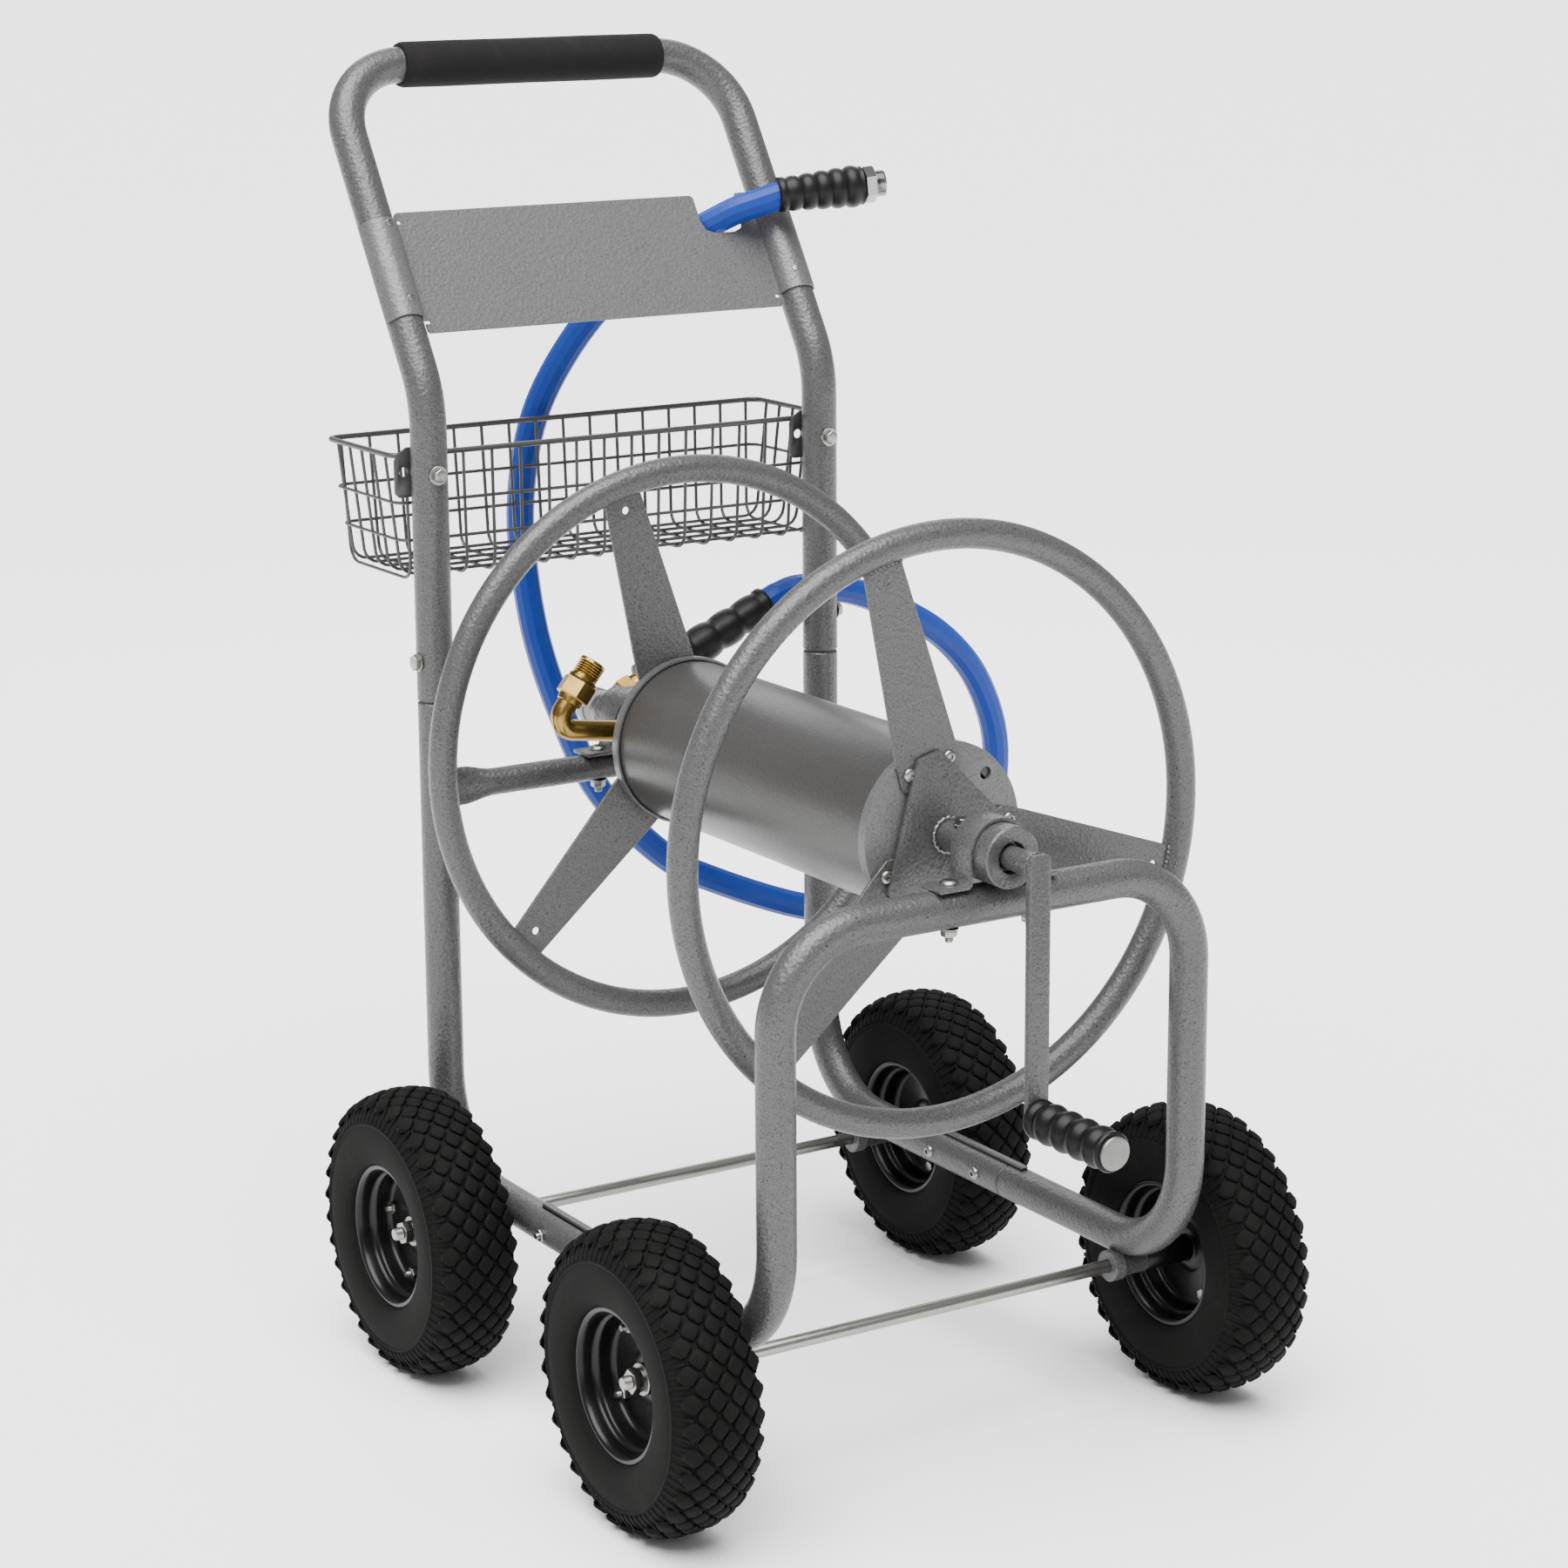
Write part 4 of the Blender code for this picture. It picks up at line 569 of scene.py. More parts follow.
inletSleeve = ribbedSleeve(
    inletCentre + inletWay * hose["sleeveStart"], inletWay, hose["sleeveEnd"] - hose["sleeveStart"], 0.0203,
    5, 0.84)
finishPiece(inletSleeve, "inletSleeve", sleeveBlack, "cart", ["hose_sleeve_inlet"], 60)
sleeveLength = (hoseTip - hoseEnd).length
outletSleeve = ribbedSleeve(hoseTip, -tipWay, sleeveLength + 0.018, 0.0200, 5, 0.84)
finishPiece(outletSleeve, "outletSleeve", sleeveBlack, "cart", ["hose_sleeve_outlet"], 60)
fittingStart = hoseTip + tipWay * 0.0006
nutPart = turnPiece([
    (0.0158, 0), (0.0172, 0.0008), (0.0172, 0.0100), (0.0158, 0.0112),
    (0.0115, 0.0114)], 6, False, fittingStart, tipWay)
threadPart = turnPiece(
    [(0.0098, 0.0110), (0.0124, 0.0115)]
    + [(0.0126 - 0.0007 * (step % 2), 0.0120 + 0.0009 * step) for step in range(9)]
    + [(0.0122, 0.0203), (0.0085, 0.0204), (0.0082, 0.0112)], 40, True, fittingStart, tipWay)
fitting = finishPiece(joinPieces([nutPart, threadPart]), "hoseFitting", chrome, "cart", ["hose_fitting"],
    30)
washer = turnPiece(
    [(0.0040, 0.0135), (0.0081, 0.0135), (0.0081, 0.0155), (0.0040, 0.0155)], 32, True, fittingStart, tipWay)
finishPiece(washer, "tapWasher", washerOrange, "cart", [], 30)
inletNutLow = 0.0238
inletNut = turnPiece([
    (0.0140, inletNutLow), (0.0155, inletNutLow + 0.001), (0.0155, inletNutLow + 0.013),
    (0.0140, inletNutLow + 0.0142)], 6, False, inletCentre, inletWay)
inletCollar = turnPiece([
    (0.0108, inletNutLow + 0.013), (0.0118, inletNutLow + 0.015), (0.0118, inletNutLow + 0.0245),
    (0.0108, inletNutLow + 0.0252)], 40, False, inletCentre, inletWay)
finishPiece(joinPieces([inletNut, inletCollar]), "inletBrass", brass, "cart", ["inlet_nut"], 30)


print("frame tubes")
tube = {
    "radius": 0.0165, "half": 0.206, "reach": 0.288, "rail": 0.1535, "bar": 0.509, "seam": 0.596,
    "railSeam": -0.033, "bendHeight": 0.870, "tilt": 32.54, "top": 1.151, "lowBend": 0.095,
    "frontBend": 0.080, "topBend": 0.10, "topCorner": 0.072, "chamfer": 0.0012,
}
topReach = tube["reach"] + (tube["top"] - tube["bendHeight"]) * math.tan(math.radians(tube["tilt"]))


def weldBead(centre, direction, radius, size, lumps=22, seed=3):
    # a ring of overlapping ripples, as a weld leaves
    rng = random.Random(seed)
    profile = [(radius + size * math.cos(math.radians(turn)), size * 0.8 * math.sin(math.radians(turn)))
               for turn in range(0, 360, 45)]
    bead = turnPiece(profile, lumps * 4, True, centre, direction)
    way = Vector(direction).normalized()
    for vertex in bead.data.vertices:
        offset = vertex.co - Vector(centre)
        flat = offset - way * offset.dot(way)
        side = way.orthogonal().normalized()
        angle = math.atan2(flat.dot(way.cross(side)), flat.dot(side))
        ripple = math.sin(angle * lumps) * 0.22 * size + rng.uniform(-0.05, 0.05) * size
        vertex.co += flat.normalized() * ripple + way * ripple * 0.5
    return bead


def roundBolt(place, direction, radius=0.006, height=0.0034, recess=0.0022):
    # a domed head with a small six-sided recess
    parts = [
        (radius * 0.97, 0), (radius, height * 0.12), (radius * 0.97, height * 0.40),
        (radius * 0.84, height * 0.72), (radius * 0.60, height * 0.94), (recess * 1.25, height),
        (recess * 1.05, height * 0.98), (recess * 0.95, height * 0.45), (recess * 0.2, height * 0.42)]
    return turnPiece(parts, 24, False, place, direction)


half = tube["half"]
handleCorners = [
    at(-half, tube["reach"], tube["seam"] + 0.0006), at(-half, tube["reach"], tube["bendHeight"]),
    at(-half, topReach, tube["top"]), at(half, topReach, tube["top"]),
    at(half, tube["reach"], tube["bendHeight"]), at(half, tube["reach"], tube["seam"] + 0.0006)]
handleTube = bendTube(
    handleCorners, [tube["topBend"], tube["topCorner"], tube["topCorner"], tube["topBend"]], tube["radius"],
    40, 14, tube["chamfer"])
finishPiece(handleTube, "handleTube", hammered, "cart", ["handle_frame"], 40)
for side, word in ((-1, "left"), (1, "right")):
    legTube = bendTube([
        at(side * half, tube["reach"], tube["seam"] - 0.0006), at(side * half, tube["reach"], tube["rail"]),
        at(side * half, tube["railSeam"] + 0.0006, tube["rail"])], [tube["lowBend"]], tube["radius"], 40, 18,
        tube["chamfer"])
    finishPiece(legTube, "legTube" + word.title(), hammered, "cart", ["rear_leg_" + word],
        40)
    for spot, way in (
        (at(side * half, tube["reach"], tube["seam"]), (0, 0, 1)),
        (at(side * half, tube["railSeam"], tube["rail"]), (0, 1, 0)),
    ):
        # a black band in each tube seam's gap: painted shade where the gap falls dark
        neck = turnPiece([(0.0152, -0.004), (0.0152, 0.004)], 40, False, spot, way)
        finishPiece(neck, "seamPaintedShade" + word.title() + ("Leg" if way[2] else "Rail"), paintedShadeBlack, "cart")
frontTube = bendTube([
    at(-half, tube["railSeam"] - 0.0006, tube["rail"]), at(-half, -tube["reach"], tube["rail"]),
    at(-half, -tube["reach"], tube["bar"]), at(half, -tube["reach"], tube["bar"]),
    at(half, -tube["reach"], tube["rail"]), at(half, tube["railSeam"] - 0.0006, tube["rail"])],
    [tube["lowBend"], tube["frontBend"], tube["frontBend"], tube["lowBend"]], tube["radius"], 40, 16,
    tube["chamfer"])
finishPiece(frontTube, "frontTube", hammered, "cart", ["front_frame"], 40)


print("cross tube")
cross = {"radius": 0.0125, "height": 0.5132, "flatStart": 0.150, "flatEnd": 0.182, "wide": 1.44, "thin": 0.50}
deselectAll()
crossStart = at(-half, tube["reach"], cross["height"])
bpy.ops.mesh.primitive_circle_add(
    vertices=40, radius=cross["radius"], location=crossStart, rotation=(0, math.pi / 2, 0))
crossTube = bpy.context.object
bpy.ops.object.transform_apply(location=True, rotation=True)
bpy.ops.object.mode_set(mode="EDIT")
bpy.ops.mesh.select_all(action="SELECT")
bpy.ops.transform.resize(value=(1, cross["thin"], cross["wide"]), center_override=crossStart)
crossSteps = [(-half, 1.0)] + [
    (-cross["flatEnd"] + (cross["flatEnd"] - cross["flatStart"]) * step / 8,
     1 - (0.5 - 0.5 * math.cos(math.pi * step / 8)))
    for step in range(9)]
crossSteps += [(-place, flat) for place, flat in reversed(crossSteps)]
lastWide, lastThin, lastPlace = cross["wide"], cross["thin"], -half
for place, flat in crossSteps[1:]:
    wide = 1 + (cross["wide"] - 1) * flat
    thin = 1 + (cross["thin"] - 1) * flat
    bpy.ops.mesh.extrude_region_move(TRANSFORM_OT_translate={"value": (place - lastPlace, 0, 0)})
    bpy.ops.transform.resize(
        value=(1, thin / lastThin, wide / lastWide),
        center_override=at(place, tube["reach"], cross["height"]))
    lastWide, lastThin, lastPlace = wide, thin, place
bpy.ops.mesh.select_all(action="DESELECT")
bpy.ops.mesh.select_non_manifold()
bpy.ops.mesh.fill_holes(sides=0)
bpy.ops.mesh.select_all(action="SELECT")
bpy.ops.mesh.normals_make_consistent(inside=False)
bpy.ops.object.mode_set(mode="OBJECT")
finishPiece(crossTube, "crossTube", hammered, "cart", ["rear_cross_tube"], 50)


print("handle grip")
grip = {"radius": 0.0208, "half": 0.136, "round": 0.004}
gripPlace = at(-grip["half"], topReach, tube["top"])
gripSleeve = turnPiece([
    (0.0167, 0.0005), (grip["radius"] - grip["round"], 0), (grip["radius"] - 0.0012, 0.0008),
    (grip["radius"], grip["round"]), (grip["radius"] + 0.0003, 0.05), (grip["radius"], 0.12),
    (grip["radius"] + 0.0003, 0.20), (grip["radius"], 2 * grip["half"] - grip["round"]),
    (grip["radius"] - 0.0012, 2 * grip["half"] - 0.0008), (grip["radius"] - grip["round"], 2 * grip["half"]),
    (0.0167, 2 * grip["half"] - 0.0005)], 64, True, gripPlace, (1, 0, 0))
finishPiece(gripSleeve, "gripSleeve", foamBlack, "cart", ["handle_grip"], 50)


print("bolts on the frame")
bolt = {
    "leg": 0.633, "rail": (0.0765, 0.0025), "basket": 0.803, "earBack": 0.3080, "sink": 0.0004,
    "railSink": 0.0006,
}
for side, word in ((-1, "Left"), (1, "Right")):
    outer = hexBolt(
        at(side * (half + tube["radius"] - bolt["sink"]), tube["reach"], bolt["leg"]), (side, 0, 0), 0.0130,
        0.0050, 0.0013, 0.0085)
    inner = hexBolt(
        at(side * (half - tube["radius"] + bolt["sink"]), tube["reach"], bolt["leg"]), (-side, 0, 0), 0.0120,
        0.0052, 0.0, 0.0, 0.004)
    finishPiece(joinPieces([outer, inner]), "legBolt" + word, zinc, "cart", ["leg_bolt_" + word.lower()],
        30)
    railBolts = []
    for place in bolt["rail"]:
        railBolts.append(roundBolt(
            at(side * (half - tube["radius"] + bolt["railSink"]), place, tube["rail"]), (-side, 0, 0), 0.0058,
            0.0036))
        railBolts.append(hexBolt(
            at(side * (half + tube["radius"] - bolt["railSink"]), place, tube["rail"]), (side, 0, 0), 0.0100,
            0.0046, 0.0, 0.0, 0.003))
    finishPiece(joinPieces(railBolts), "railBolts" + word, zinc, "cart", [], 30)
    basketBolt = hexBolt(
        at(side * half, tube["reach"] - tube["radius"] + 0.0003, bolt["basket"]), (0, -1, 0), 0.0110, 0.0052,
        0.0022, 0.0088, 0.0)
    basketNut = hexBolt(at(side * half, bolt["earBack"], bolt["basket"]), (0, 1, 0), 0.0120, 0.0050, 0.0, 0.0,
        0.004)
    finishPiece(
        joinPieces([basketBolt, basketNut]), "basketBolt" + word, zinc, "cart",
        ["basket_bolt_" + word.lower()], 30)


print("rail strips")
strip = {"start": -0.055, "end": 0.100, "half": 0.0032, "low": 0.1694, "middle": 0.1712, "high": 0.1736}
stripStart, stripEnd = at(0, strip["start"], 0).y, at(0, strip["end"], 0).y
for side, word in ((-1, "Left"), (1, "Right")):
    # a thin black strip under a grey strip along the top of each rail
    for low, high, finish, part, wide in (
        (strip["low"], strip["middle"], sleeveBlack, "DarkLine", 0.0006),
        (strip["middle"], strip["high"], hammered, "GreyStrip", 0),
    ):
        edge = strip["half"] + wide
        bar = sheetPiece([
            (stripStart, low), (stripEnd, low), (stripEnd, high), (stripStart + 0.004, high),
            (stripStart, high - 0.0008)], side * half - edge, side * half + edge, "YZ", 0.0003)
        finishPiece(bar, "rail" + part + word, finish, "cart", [], 25)


print("notched plate")
plate = {
    "sheet": 0.0020, "low": 0.0617, "high": 0.1827, "wrapLow": 0.074, "wrapHigh": 0.171, "edge": 0.187,
    "notchLeft": 0.127, "notchRight": 0.172, "notchFloor": 0.1423, "inner": 0.0168, "bevel": 0.0005,
    "rivetTurn": 78, "rivets": ((-1, (1.0095, 0.9464)), (1, (1.0095, 0.9472))),
}
plateEdge = plate["edge"]
plateIn = half - plate["inner"] - plate["sheet"] / 2
plateOutline = [
    (-plateEdge + 0.002, plate["low"]), (plateEdge - 0.002, plate["low"]), (plateEdge, plate["low"] + 0.002),
    (plateEdge, plate["wrapLow"] - 0.003), (plateEdge - 0.005, plate["wrapLow"] - 0.003),
    (plateEdge - 0.005, plate["wrapLow"]), (plateIn, plate["wrapLow"]), (plateIn, plate["wrapHigh"]),
    (plateEdge - 0.005, plate["wrapHigh"]), (plateEdge - 0.005, plate["wrapHigh"] + 0.003),
    (plateEdge, plate["wrapHigh"] + 0.003), (plateEdge, plate["high"] - 0.003),
    (plateEdge - 0.003, plate["high"]), (plate["notchRight"] + 0.002, plate["high"]),
    (plate["notchRight"], plate["high"] - 0.002), (plate["notchRight"], plate["notchFloor"] + 0.012),
    (plate["notchRight"] - 0.0035, plate["notchFloor"] + 0.0035),
    (plate["notchRight"] - 0.012, plate["notchFloor"]), (plate["notchLeft"] + 0.012, plate["notchFloor"]),
    (plate["notchLeft"] + 0.0035, plate["notchFloor"] + 0.0035),
    (plate["notchLeft"], plate["notchFloor"] + 0.012), (plate["notchLeft"], plate["high"] - 0.003),
    (plate["notchLeft"] - 0.003, plate["high"]), (-plateEdge + 0.003, plate["high"]),
    (-plateEdge, plate["high"] - 0.003), (-plateEdge, plate["wrapHigh"] + 0.003),
    (-plateEdge + 0.005, plate["wrapHigh"] + 0.003), (-plateEdge + 0.005, plate["wrapHigh"]),
    (-plateIn, plate["wrapHigh"]), (-plateIn, plate["wrapLow"]), (-plateEdge + 0.005, plate["wrapLow"]),
    (-plateEdge + 0.005, plate["wrapLow"] - 0.003), (-plateEdge, plate["wrapLow"] - 0.003),
    (-plateEdge, plate["low"] + 0.002)]
plateTurn = Matrix.Translation(at(0, tube["reach"], tube["bendHeight"])) @ Matrix.Rotation(
    math.pi / 2 - math.radians(tube["tilt"]), 4, "X")
plateParts = [sheetPiece(plateOutline, 0, plate["sheet"], "XY", plate["bevel"])]
for side in (-1, 1):
    band = []
    outer = plate["inner"] + plate["sheet"]
    for radius, order in ((outer, range(25)), (plate["inner"], range(24, -1, -1))):
        for step in order:
            angle = math.pi * step / 24
            band.append((side * half - side * radius * math.cos(angle), radius * math.sin(angle)))
    plateParts.append(sheetPiece(band, plate["wrapLow"], plate["wrapHigh"], "XZ", plate["bevel"]))
sheet = joinPieces(plateParts)
sheet.matrix_world = plateTurn
# the notched plate takes the lighter copy of the paint, with its painted top light
finishPiece(sheet, "notchedPlate", hammeredSheetPaintedLight, "cart", ["hose_plate"], 25)
rivets = []
slope = math.cos(math.radians(tube["tilt"]))
for side, heights in plate["rivets"]:
    for height in heights:
        along = (height - tube["bendHeight"]) / slope
        turn = math.radians(plate["rivetTurn"])
        out = Vector((-side * math.cos(turn), 0, math.sin(turn)))
        spot = Vector((side * half, along, 0)) + out * (outer - 0.0002)
        spotWorld = plateTurn @ spot
        outWorld = (plateTurn.to_3x3() @ out).normalized()
        rivets.append(turnPiece([
            (0.0034, 0), (0.0034, 0.0004), (0.0030, 0.0010), (0.0018, 0.0014), (0.0013, 0.0014),
            (0.0011, 0.0006), (0.0004, 0.0006)], 24, False, spotWorld, outWorld))
finishPiece(joinPieces(rivets), "plateRivets", zinc, "cart", [], 30)


print("wire basket")
basket = {
    "rim": 0.0026, "wire": 0.0016, "top": 0.8175, "floor": 0.7036, "topHalf": 0.232, "floorHalf": 0.218,
    "topFront": 0.309, "topBack": 0.443, "floorFront": 0.314, "floorBack": 0.434, "bend": 0.015,
    "pitch": 0.0286, "rings": (0.774, 0.7395), "rimCorner": 0.012, "firstWire": -0.2145, "flare": 1.02,
    "wires": 16, "longWires": 5, "longMargin": 0.012, "earHalf": 0.022, "earFront": 0.3043, "earBack": 0.3073,
}


def basketSize(low, high, height):
    share = (height - basket["floor"]) / (basket["top"] - basket["floor"])
    return basket[low] + (basket[high] - basket[low]) * share


def wireHoop(height, radius, sides, corner):
    # one level ring of the basket: half of it is bent as a tube, then both halves meet
    wide = basketSize("floorHalf", "topHalf", height)
    front = basketSize("floorFront", "topFront", height)
    back = basketSize("floorBack", "topBack", height)
    halves = []
    for side in (-1, 1):
        halves.append(bendTube([
            at(0, front, height), at(side * wide, front, height), at(side * wide, back, height),
            at(0, back, height)],
            [corner, corner], radius, sides, 5))
    return halves


wires = wireHoop(basket["top"], basket["rim"], 12, basket["rimCorner"])
for height in basket["rings"]:
    wires += wireHoop(height, basket["wire"], 8, basket["rimCorner"])
floorLevel, topLevel = basket["floor"], basket["top"] - 0.001
for step in range(basket["wires"]):
    place = basket["firstWire"] + basket["pitch"] * step
    wires.append(bendTube([
        at(place * basket["flare"], basket["topFront"] + 0.0012, topLevel),
        at(place, basket["floorFront"] - 0.0008, floorLevel),
        at(place, basket["floorBack"] + 0.0008, floorLevel),
        at(place * basket["flare"], basket["topBack"] - 0.0012, topLevel)],
        [basket["bend"], basket["bend"]], basket["wire"], 8, 4))
for step in range(basket["longWires"]):
    span = basket["floorBack"] - basket["floorFront"] - 2 * basket["longMargin"]
    reach = basket["floorFront"] + basket["longMargin"] + span * step / (basket["longWires"] - 1)
    wires.append(bendTube([
        at(-basket["topHalf"] + 0.0012, reach, topLevel), at(-basket["floorHalf"], reach, floorLevel + 0.003),
        at(basket["floorHalf"], reach, floorLevel + 0.003), at(basket["topHalf"] - 0.0012, reach, topLevel)],
        [basket["bend"], basket["bend"]], basket["wire"], 8, 4))
ears = []
for side in (-1, 1):
    centre = side * half
    left, right = centre - basket["earHalf"] - (0.004 if side < 0 else 0), centre + basket["earHalf"]
    ears.append(sheetPiece([
        (left + 0.004, 0.780), (right - 0.004, 0.780), (right, 0.784), (right, 0.818), (right - 0.004, 0.822),
        (right - 0.010, 0.825), (left + 0.012, 0.825), (left + 0.004, 0.820), (left, 0.814), (left, 0.784)],
        at(0, basket["earFront"], 0).y, at(0, basket["earBack"], 0).y, "XZ", 0.0006,
        [(left + 0.0085, bolt["basket"], 0.0042)]))
finishPiece(joinPieces(wires + ears), "wireBasket", wireGrey, "cart", ["basket"], 40)


print("wheels")
wheel = {
    "track": 0.2784, "reach": 0.2066, "height": 0.130, "radius": 0.130, "blocks": 34, "rows": 3,
    "rowPitch": 0.0100, "fill": 0.715, "ribs": 84, "tread": 0.0034, "root": 0.0006, "axleEnd": 0.304,
    "boltTurns": (35, 125, 215, 305), "boltCircle": 0.0445, "nut": 0.0066, "sleeve": 0.186,
    "turns": {"front_left": 0.35, "rear_left": 1.15, "front_right": 2.0, "rear_right": 0.8},
}


def crown(offset):
    # radius of the tread's top at this distance from the middle of the wheel
    share = abs(offset) / 0.034
    return wheel["radius"] - 0.0078 * share ** 2.4


def tyreShape():
    side = [
        (0.0612, 0.0300), (0.0650, 0.0322), (0.0660, 0.0350), (0.0685, 0.0368), (0.0740, 0.0384),
        (0.0820, 0.0396), (0.0900, 0.0402), (0.0970, 0.0400), (0.1010, 0.0394), (0.1022, 0.0402),
        (0.1036, 0.0402), (0.1046, 0.0388), (0.1090, 0.0374), (0.1130, 0.0352), (0.1165, 0.0320)]
    for offset in (0.0290, 0.0250, 0.0200, 0.0150, 0.0100, 0.0050):
        side.append((crown(offset) - wheel["tread"], offset))
    return side + [(crown(0) - wheel["tread"], 0)] + [(radius, -offset) for radius, offset in reversed(side)]


def treadBlock(offset, spread, angleSpread, height):
    # one lozenge with cut corners, low at its foot and narrower on top
    deselectAll()
    bpy.ops.mesh.primitive_circle_add(vertices=8, radius=1, fill_type="NGON")
    block = bpy.context.object
    corners = [(1, 0.22), (0.22, 1), (-0.22, 1), (-1, 0.22), (-1, -0.22), (-0.22, -1), (0.22, -1), (1, -0.22)]
    for vertex, (turn, shift) in zip(block.data.vertices, corners):
        place = offset + shift * spread
        angle = turn * angleSpread
        radius = crown(place) - wheel["tread"] - wheel["root"]
        vertex.co = (place, math.sin(angle) * radius, math.cos(angle) * radius)
    middle = Vector((offset, 0, crown(offset)))
    bpy.ops.object.mode_set(mode="EDIT")
    bpy.ops.mesh.select_mode(type="FACE")
    bpy.ops.mesh.select_all(action="SELECT")
    for ratio, rise in ((0.97, height * 0.82), (0.90, height * 0.18)):
        bpy.ops.mesh.extrude_region_move(TRANSFORM_OT_translate={"value": (0, 0, rise)})
        bpy.ops.transform.resize(value=(ratio, ratio, 1), center_override=middle)
    bpy.ops.mesh.inset(thickness=0.0022, depth=-0.0007)
    bpy.ops.mesh.select_all(action="SELECT")
    bpy.ops.mesh.normals_make_consistent(inside=False)
    bpy.ops.object.mode_set(mode="OBJECT")
    return block


def ringOf(piece, count, start=0.0):
    # the piece is copied all the way round the wheel's axle
    deselectAll()
    piece.select_set(True)
    bpy.context.view_layer.objects.active = piece
    if start:
        piece.rotation_euler = (start, 0, 0)
        bpy.ops.object.transform_apply(location=False, rotation=True, scale=False)
    bpy.ops.object.mode_set(mode="EDIT")
    bpy.ops.mesh.select_all(action="SELECT")
    bpy.ops.mesh.spin(steps=count, angle=2 * math.pi, center=(0, 0, 0), axis=(1, 0, 0), dupli=True)
    bpy.ops.mesh.select_all(action="SELECT")
    bpy.ops.mesh.remove_doubles(threshold=0.00002)
    bpy.ops.object.mode_set(mode="OBJECT")
    return piece


def makeTyre():
    parts = [turnPiece(tyreShape(), 104, True, (0, 0, 0), (1, 0, 0))]
    pitch = 2 * math.pi / wheel["blocks"]
    for row in range(-wheel["rows"], wheel["rows"] + 1):
        offset = row * wheel["rowPitch"]
        block = treadBlock(
            offset, wheel["rowPitch"] * wheel["fill"], pitch / 2 * wheel["fill"],
            wheel["tread"] + wheel["root"])
        parts.append(ringOf(block, wheel["blocks"], pitch / 2 if row % 2 else 0))
    for side in (-1, 1):
        deselectAll()
        bpy.ops.mesh.primitive_plane_add(size=0.0036, location=(side * 0.0366, 0, 0.1110))
        rib = bpy.context.object
        bpy.ops.object.transform_apply(location=True)
        outline = [(0.0392, 0.1048), (0.0300, 0.1222)]
        for vertex in rib.data.vertices:
            inner = vertex.co.x < side * 0.0366
            level = outline[0] if inner == (side < 0) else outline[1]
            vertex.co = (side * (level[0] - 0.0004), -0.0019 if vertex.co.y < 0 else 0.0019,
                level[1] - 0.0006)
        bpy.ops.object.mode_set(mode="EDIT")
        bpy.ops.mesh.select_mode(type="FACE")
        bpy.ops.mesh.select_all(action="SELECT")
        bpy.ops.mesh.extrude_region_move(TRANSFORM_OT_translate={"value": (side * 0.0011, 0, 0.0016)})
        bpy.ops.transform.resize(value=(0.97, 0.72, 0.995), center_override=(side * 0.0352, 0, 0.1135))
        bpy.ops.mesh.select_all(action="SELECT")
        bpy.ops.mesh.normals_make_consistent(inside=False)
        bpy.ops.object.mode_set(mode="OBJECT")
        parts.append(ringOf(rib, wheel["ribs"]))
    return joinPieces(parts)


def makeRim(outward):
    # two pressed halves: rolled lip, stepped barrel and deep disc, with the hub tube through them
    face = [
        (0.0606, 0.0290), (0.0634, 0.0298), (0.0648, 0.0306), (0.0652, 0.0318), (0.0645, 0.0330),
        (0.0630, 0.0333), (0.0612, 0.0326), (0.0600, 0.0310), (0.0590, 0.0280), (0.0584, 0.0230),
        (0.0580, 0.0205), (0.0568, 0.0190), (0.0552, 0.0184), (0.0544, 0.0174), (0.0540, 0.0150),
        (0.0532, 0.0080), (0.0524, 0.0048), (0.0505, 0.0030), (0.0480, 0.0024), (0.0240, 0.0022),
        (0.0215, 0.0030), (0.0200, 0.0042), (0.0150, 0.0046), (0.0120, 0.0046)]
    outHub = [(0.0112, 0.0050), (0.0108, 0.0061), (0.0064, 0.0061)]
    inHub = [(0.0064, -0.0543), (0.0106, -0.0543), (0.0112, -0.0536), (0.0112, -0.0052)]
    back = [(radius, -offset) for radius, offset in reversed(face)]
    profile = face + outHub + inHub + back
    profile = [(radius, offset * outward) for radius, offset in profile]
    return turnPiece(profile, 80, True, (0, 0, 0), (1, 0, 0))


def makeRimBolts(outward):
    bolts = []
    for turn in wheel["boltTurns"]:
        angle = math.radians(turn)
        spot = Vector((0, math.cos(angle), math.sin(angle))) * wheel["boltCircle"]
        bolts.append(hexBolt(spot + Vector((outward * 0.0020, 0, 0)), (outward, 0, 0), 0.0100, 0.0046, 0.0,
            0.0, 0.0050,
                             turn * 0.3))
        bolts.append(hexBolt(spot - Vector((outward * 0.0020, 0, 0)), (-outward, 0, 0), 0.0100, 0.0040))
    return joinPieces(bolts)


tyreModel = makeTyre()
rimModels = {side: makeRim(side) for side in (-1, 1)}
boltModels = {side: makeRimBolts(side) for side in (-1, 1)}


def placeCopy(model, place, turn=0.0):
    copy = model.copy()
    copy.data = model.data.copy()
    bpy.context.scene.collection.objects.link(copy)
    copy.matrix_world = Matrix.Translation(place) @ Matrix.Rotation(turn, 4, "X")
    return copy


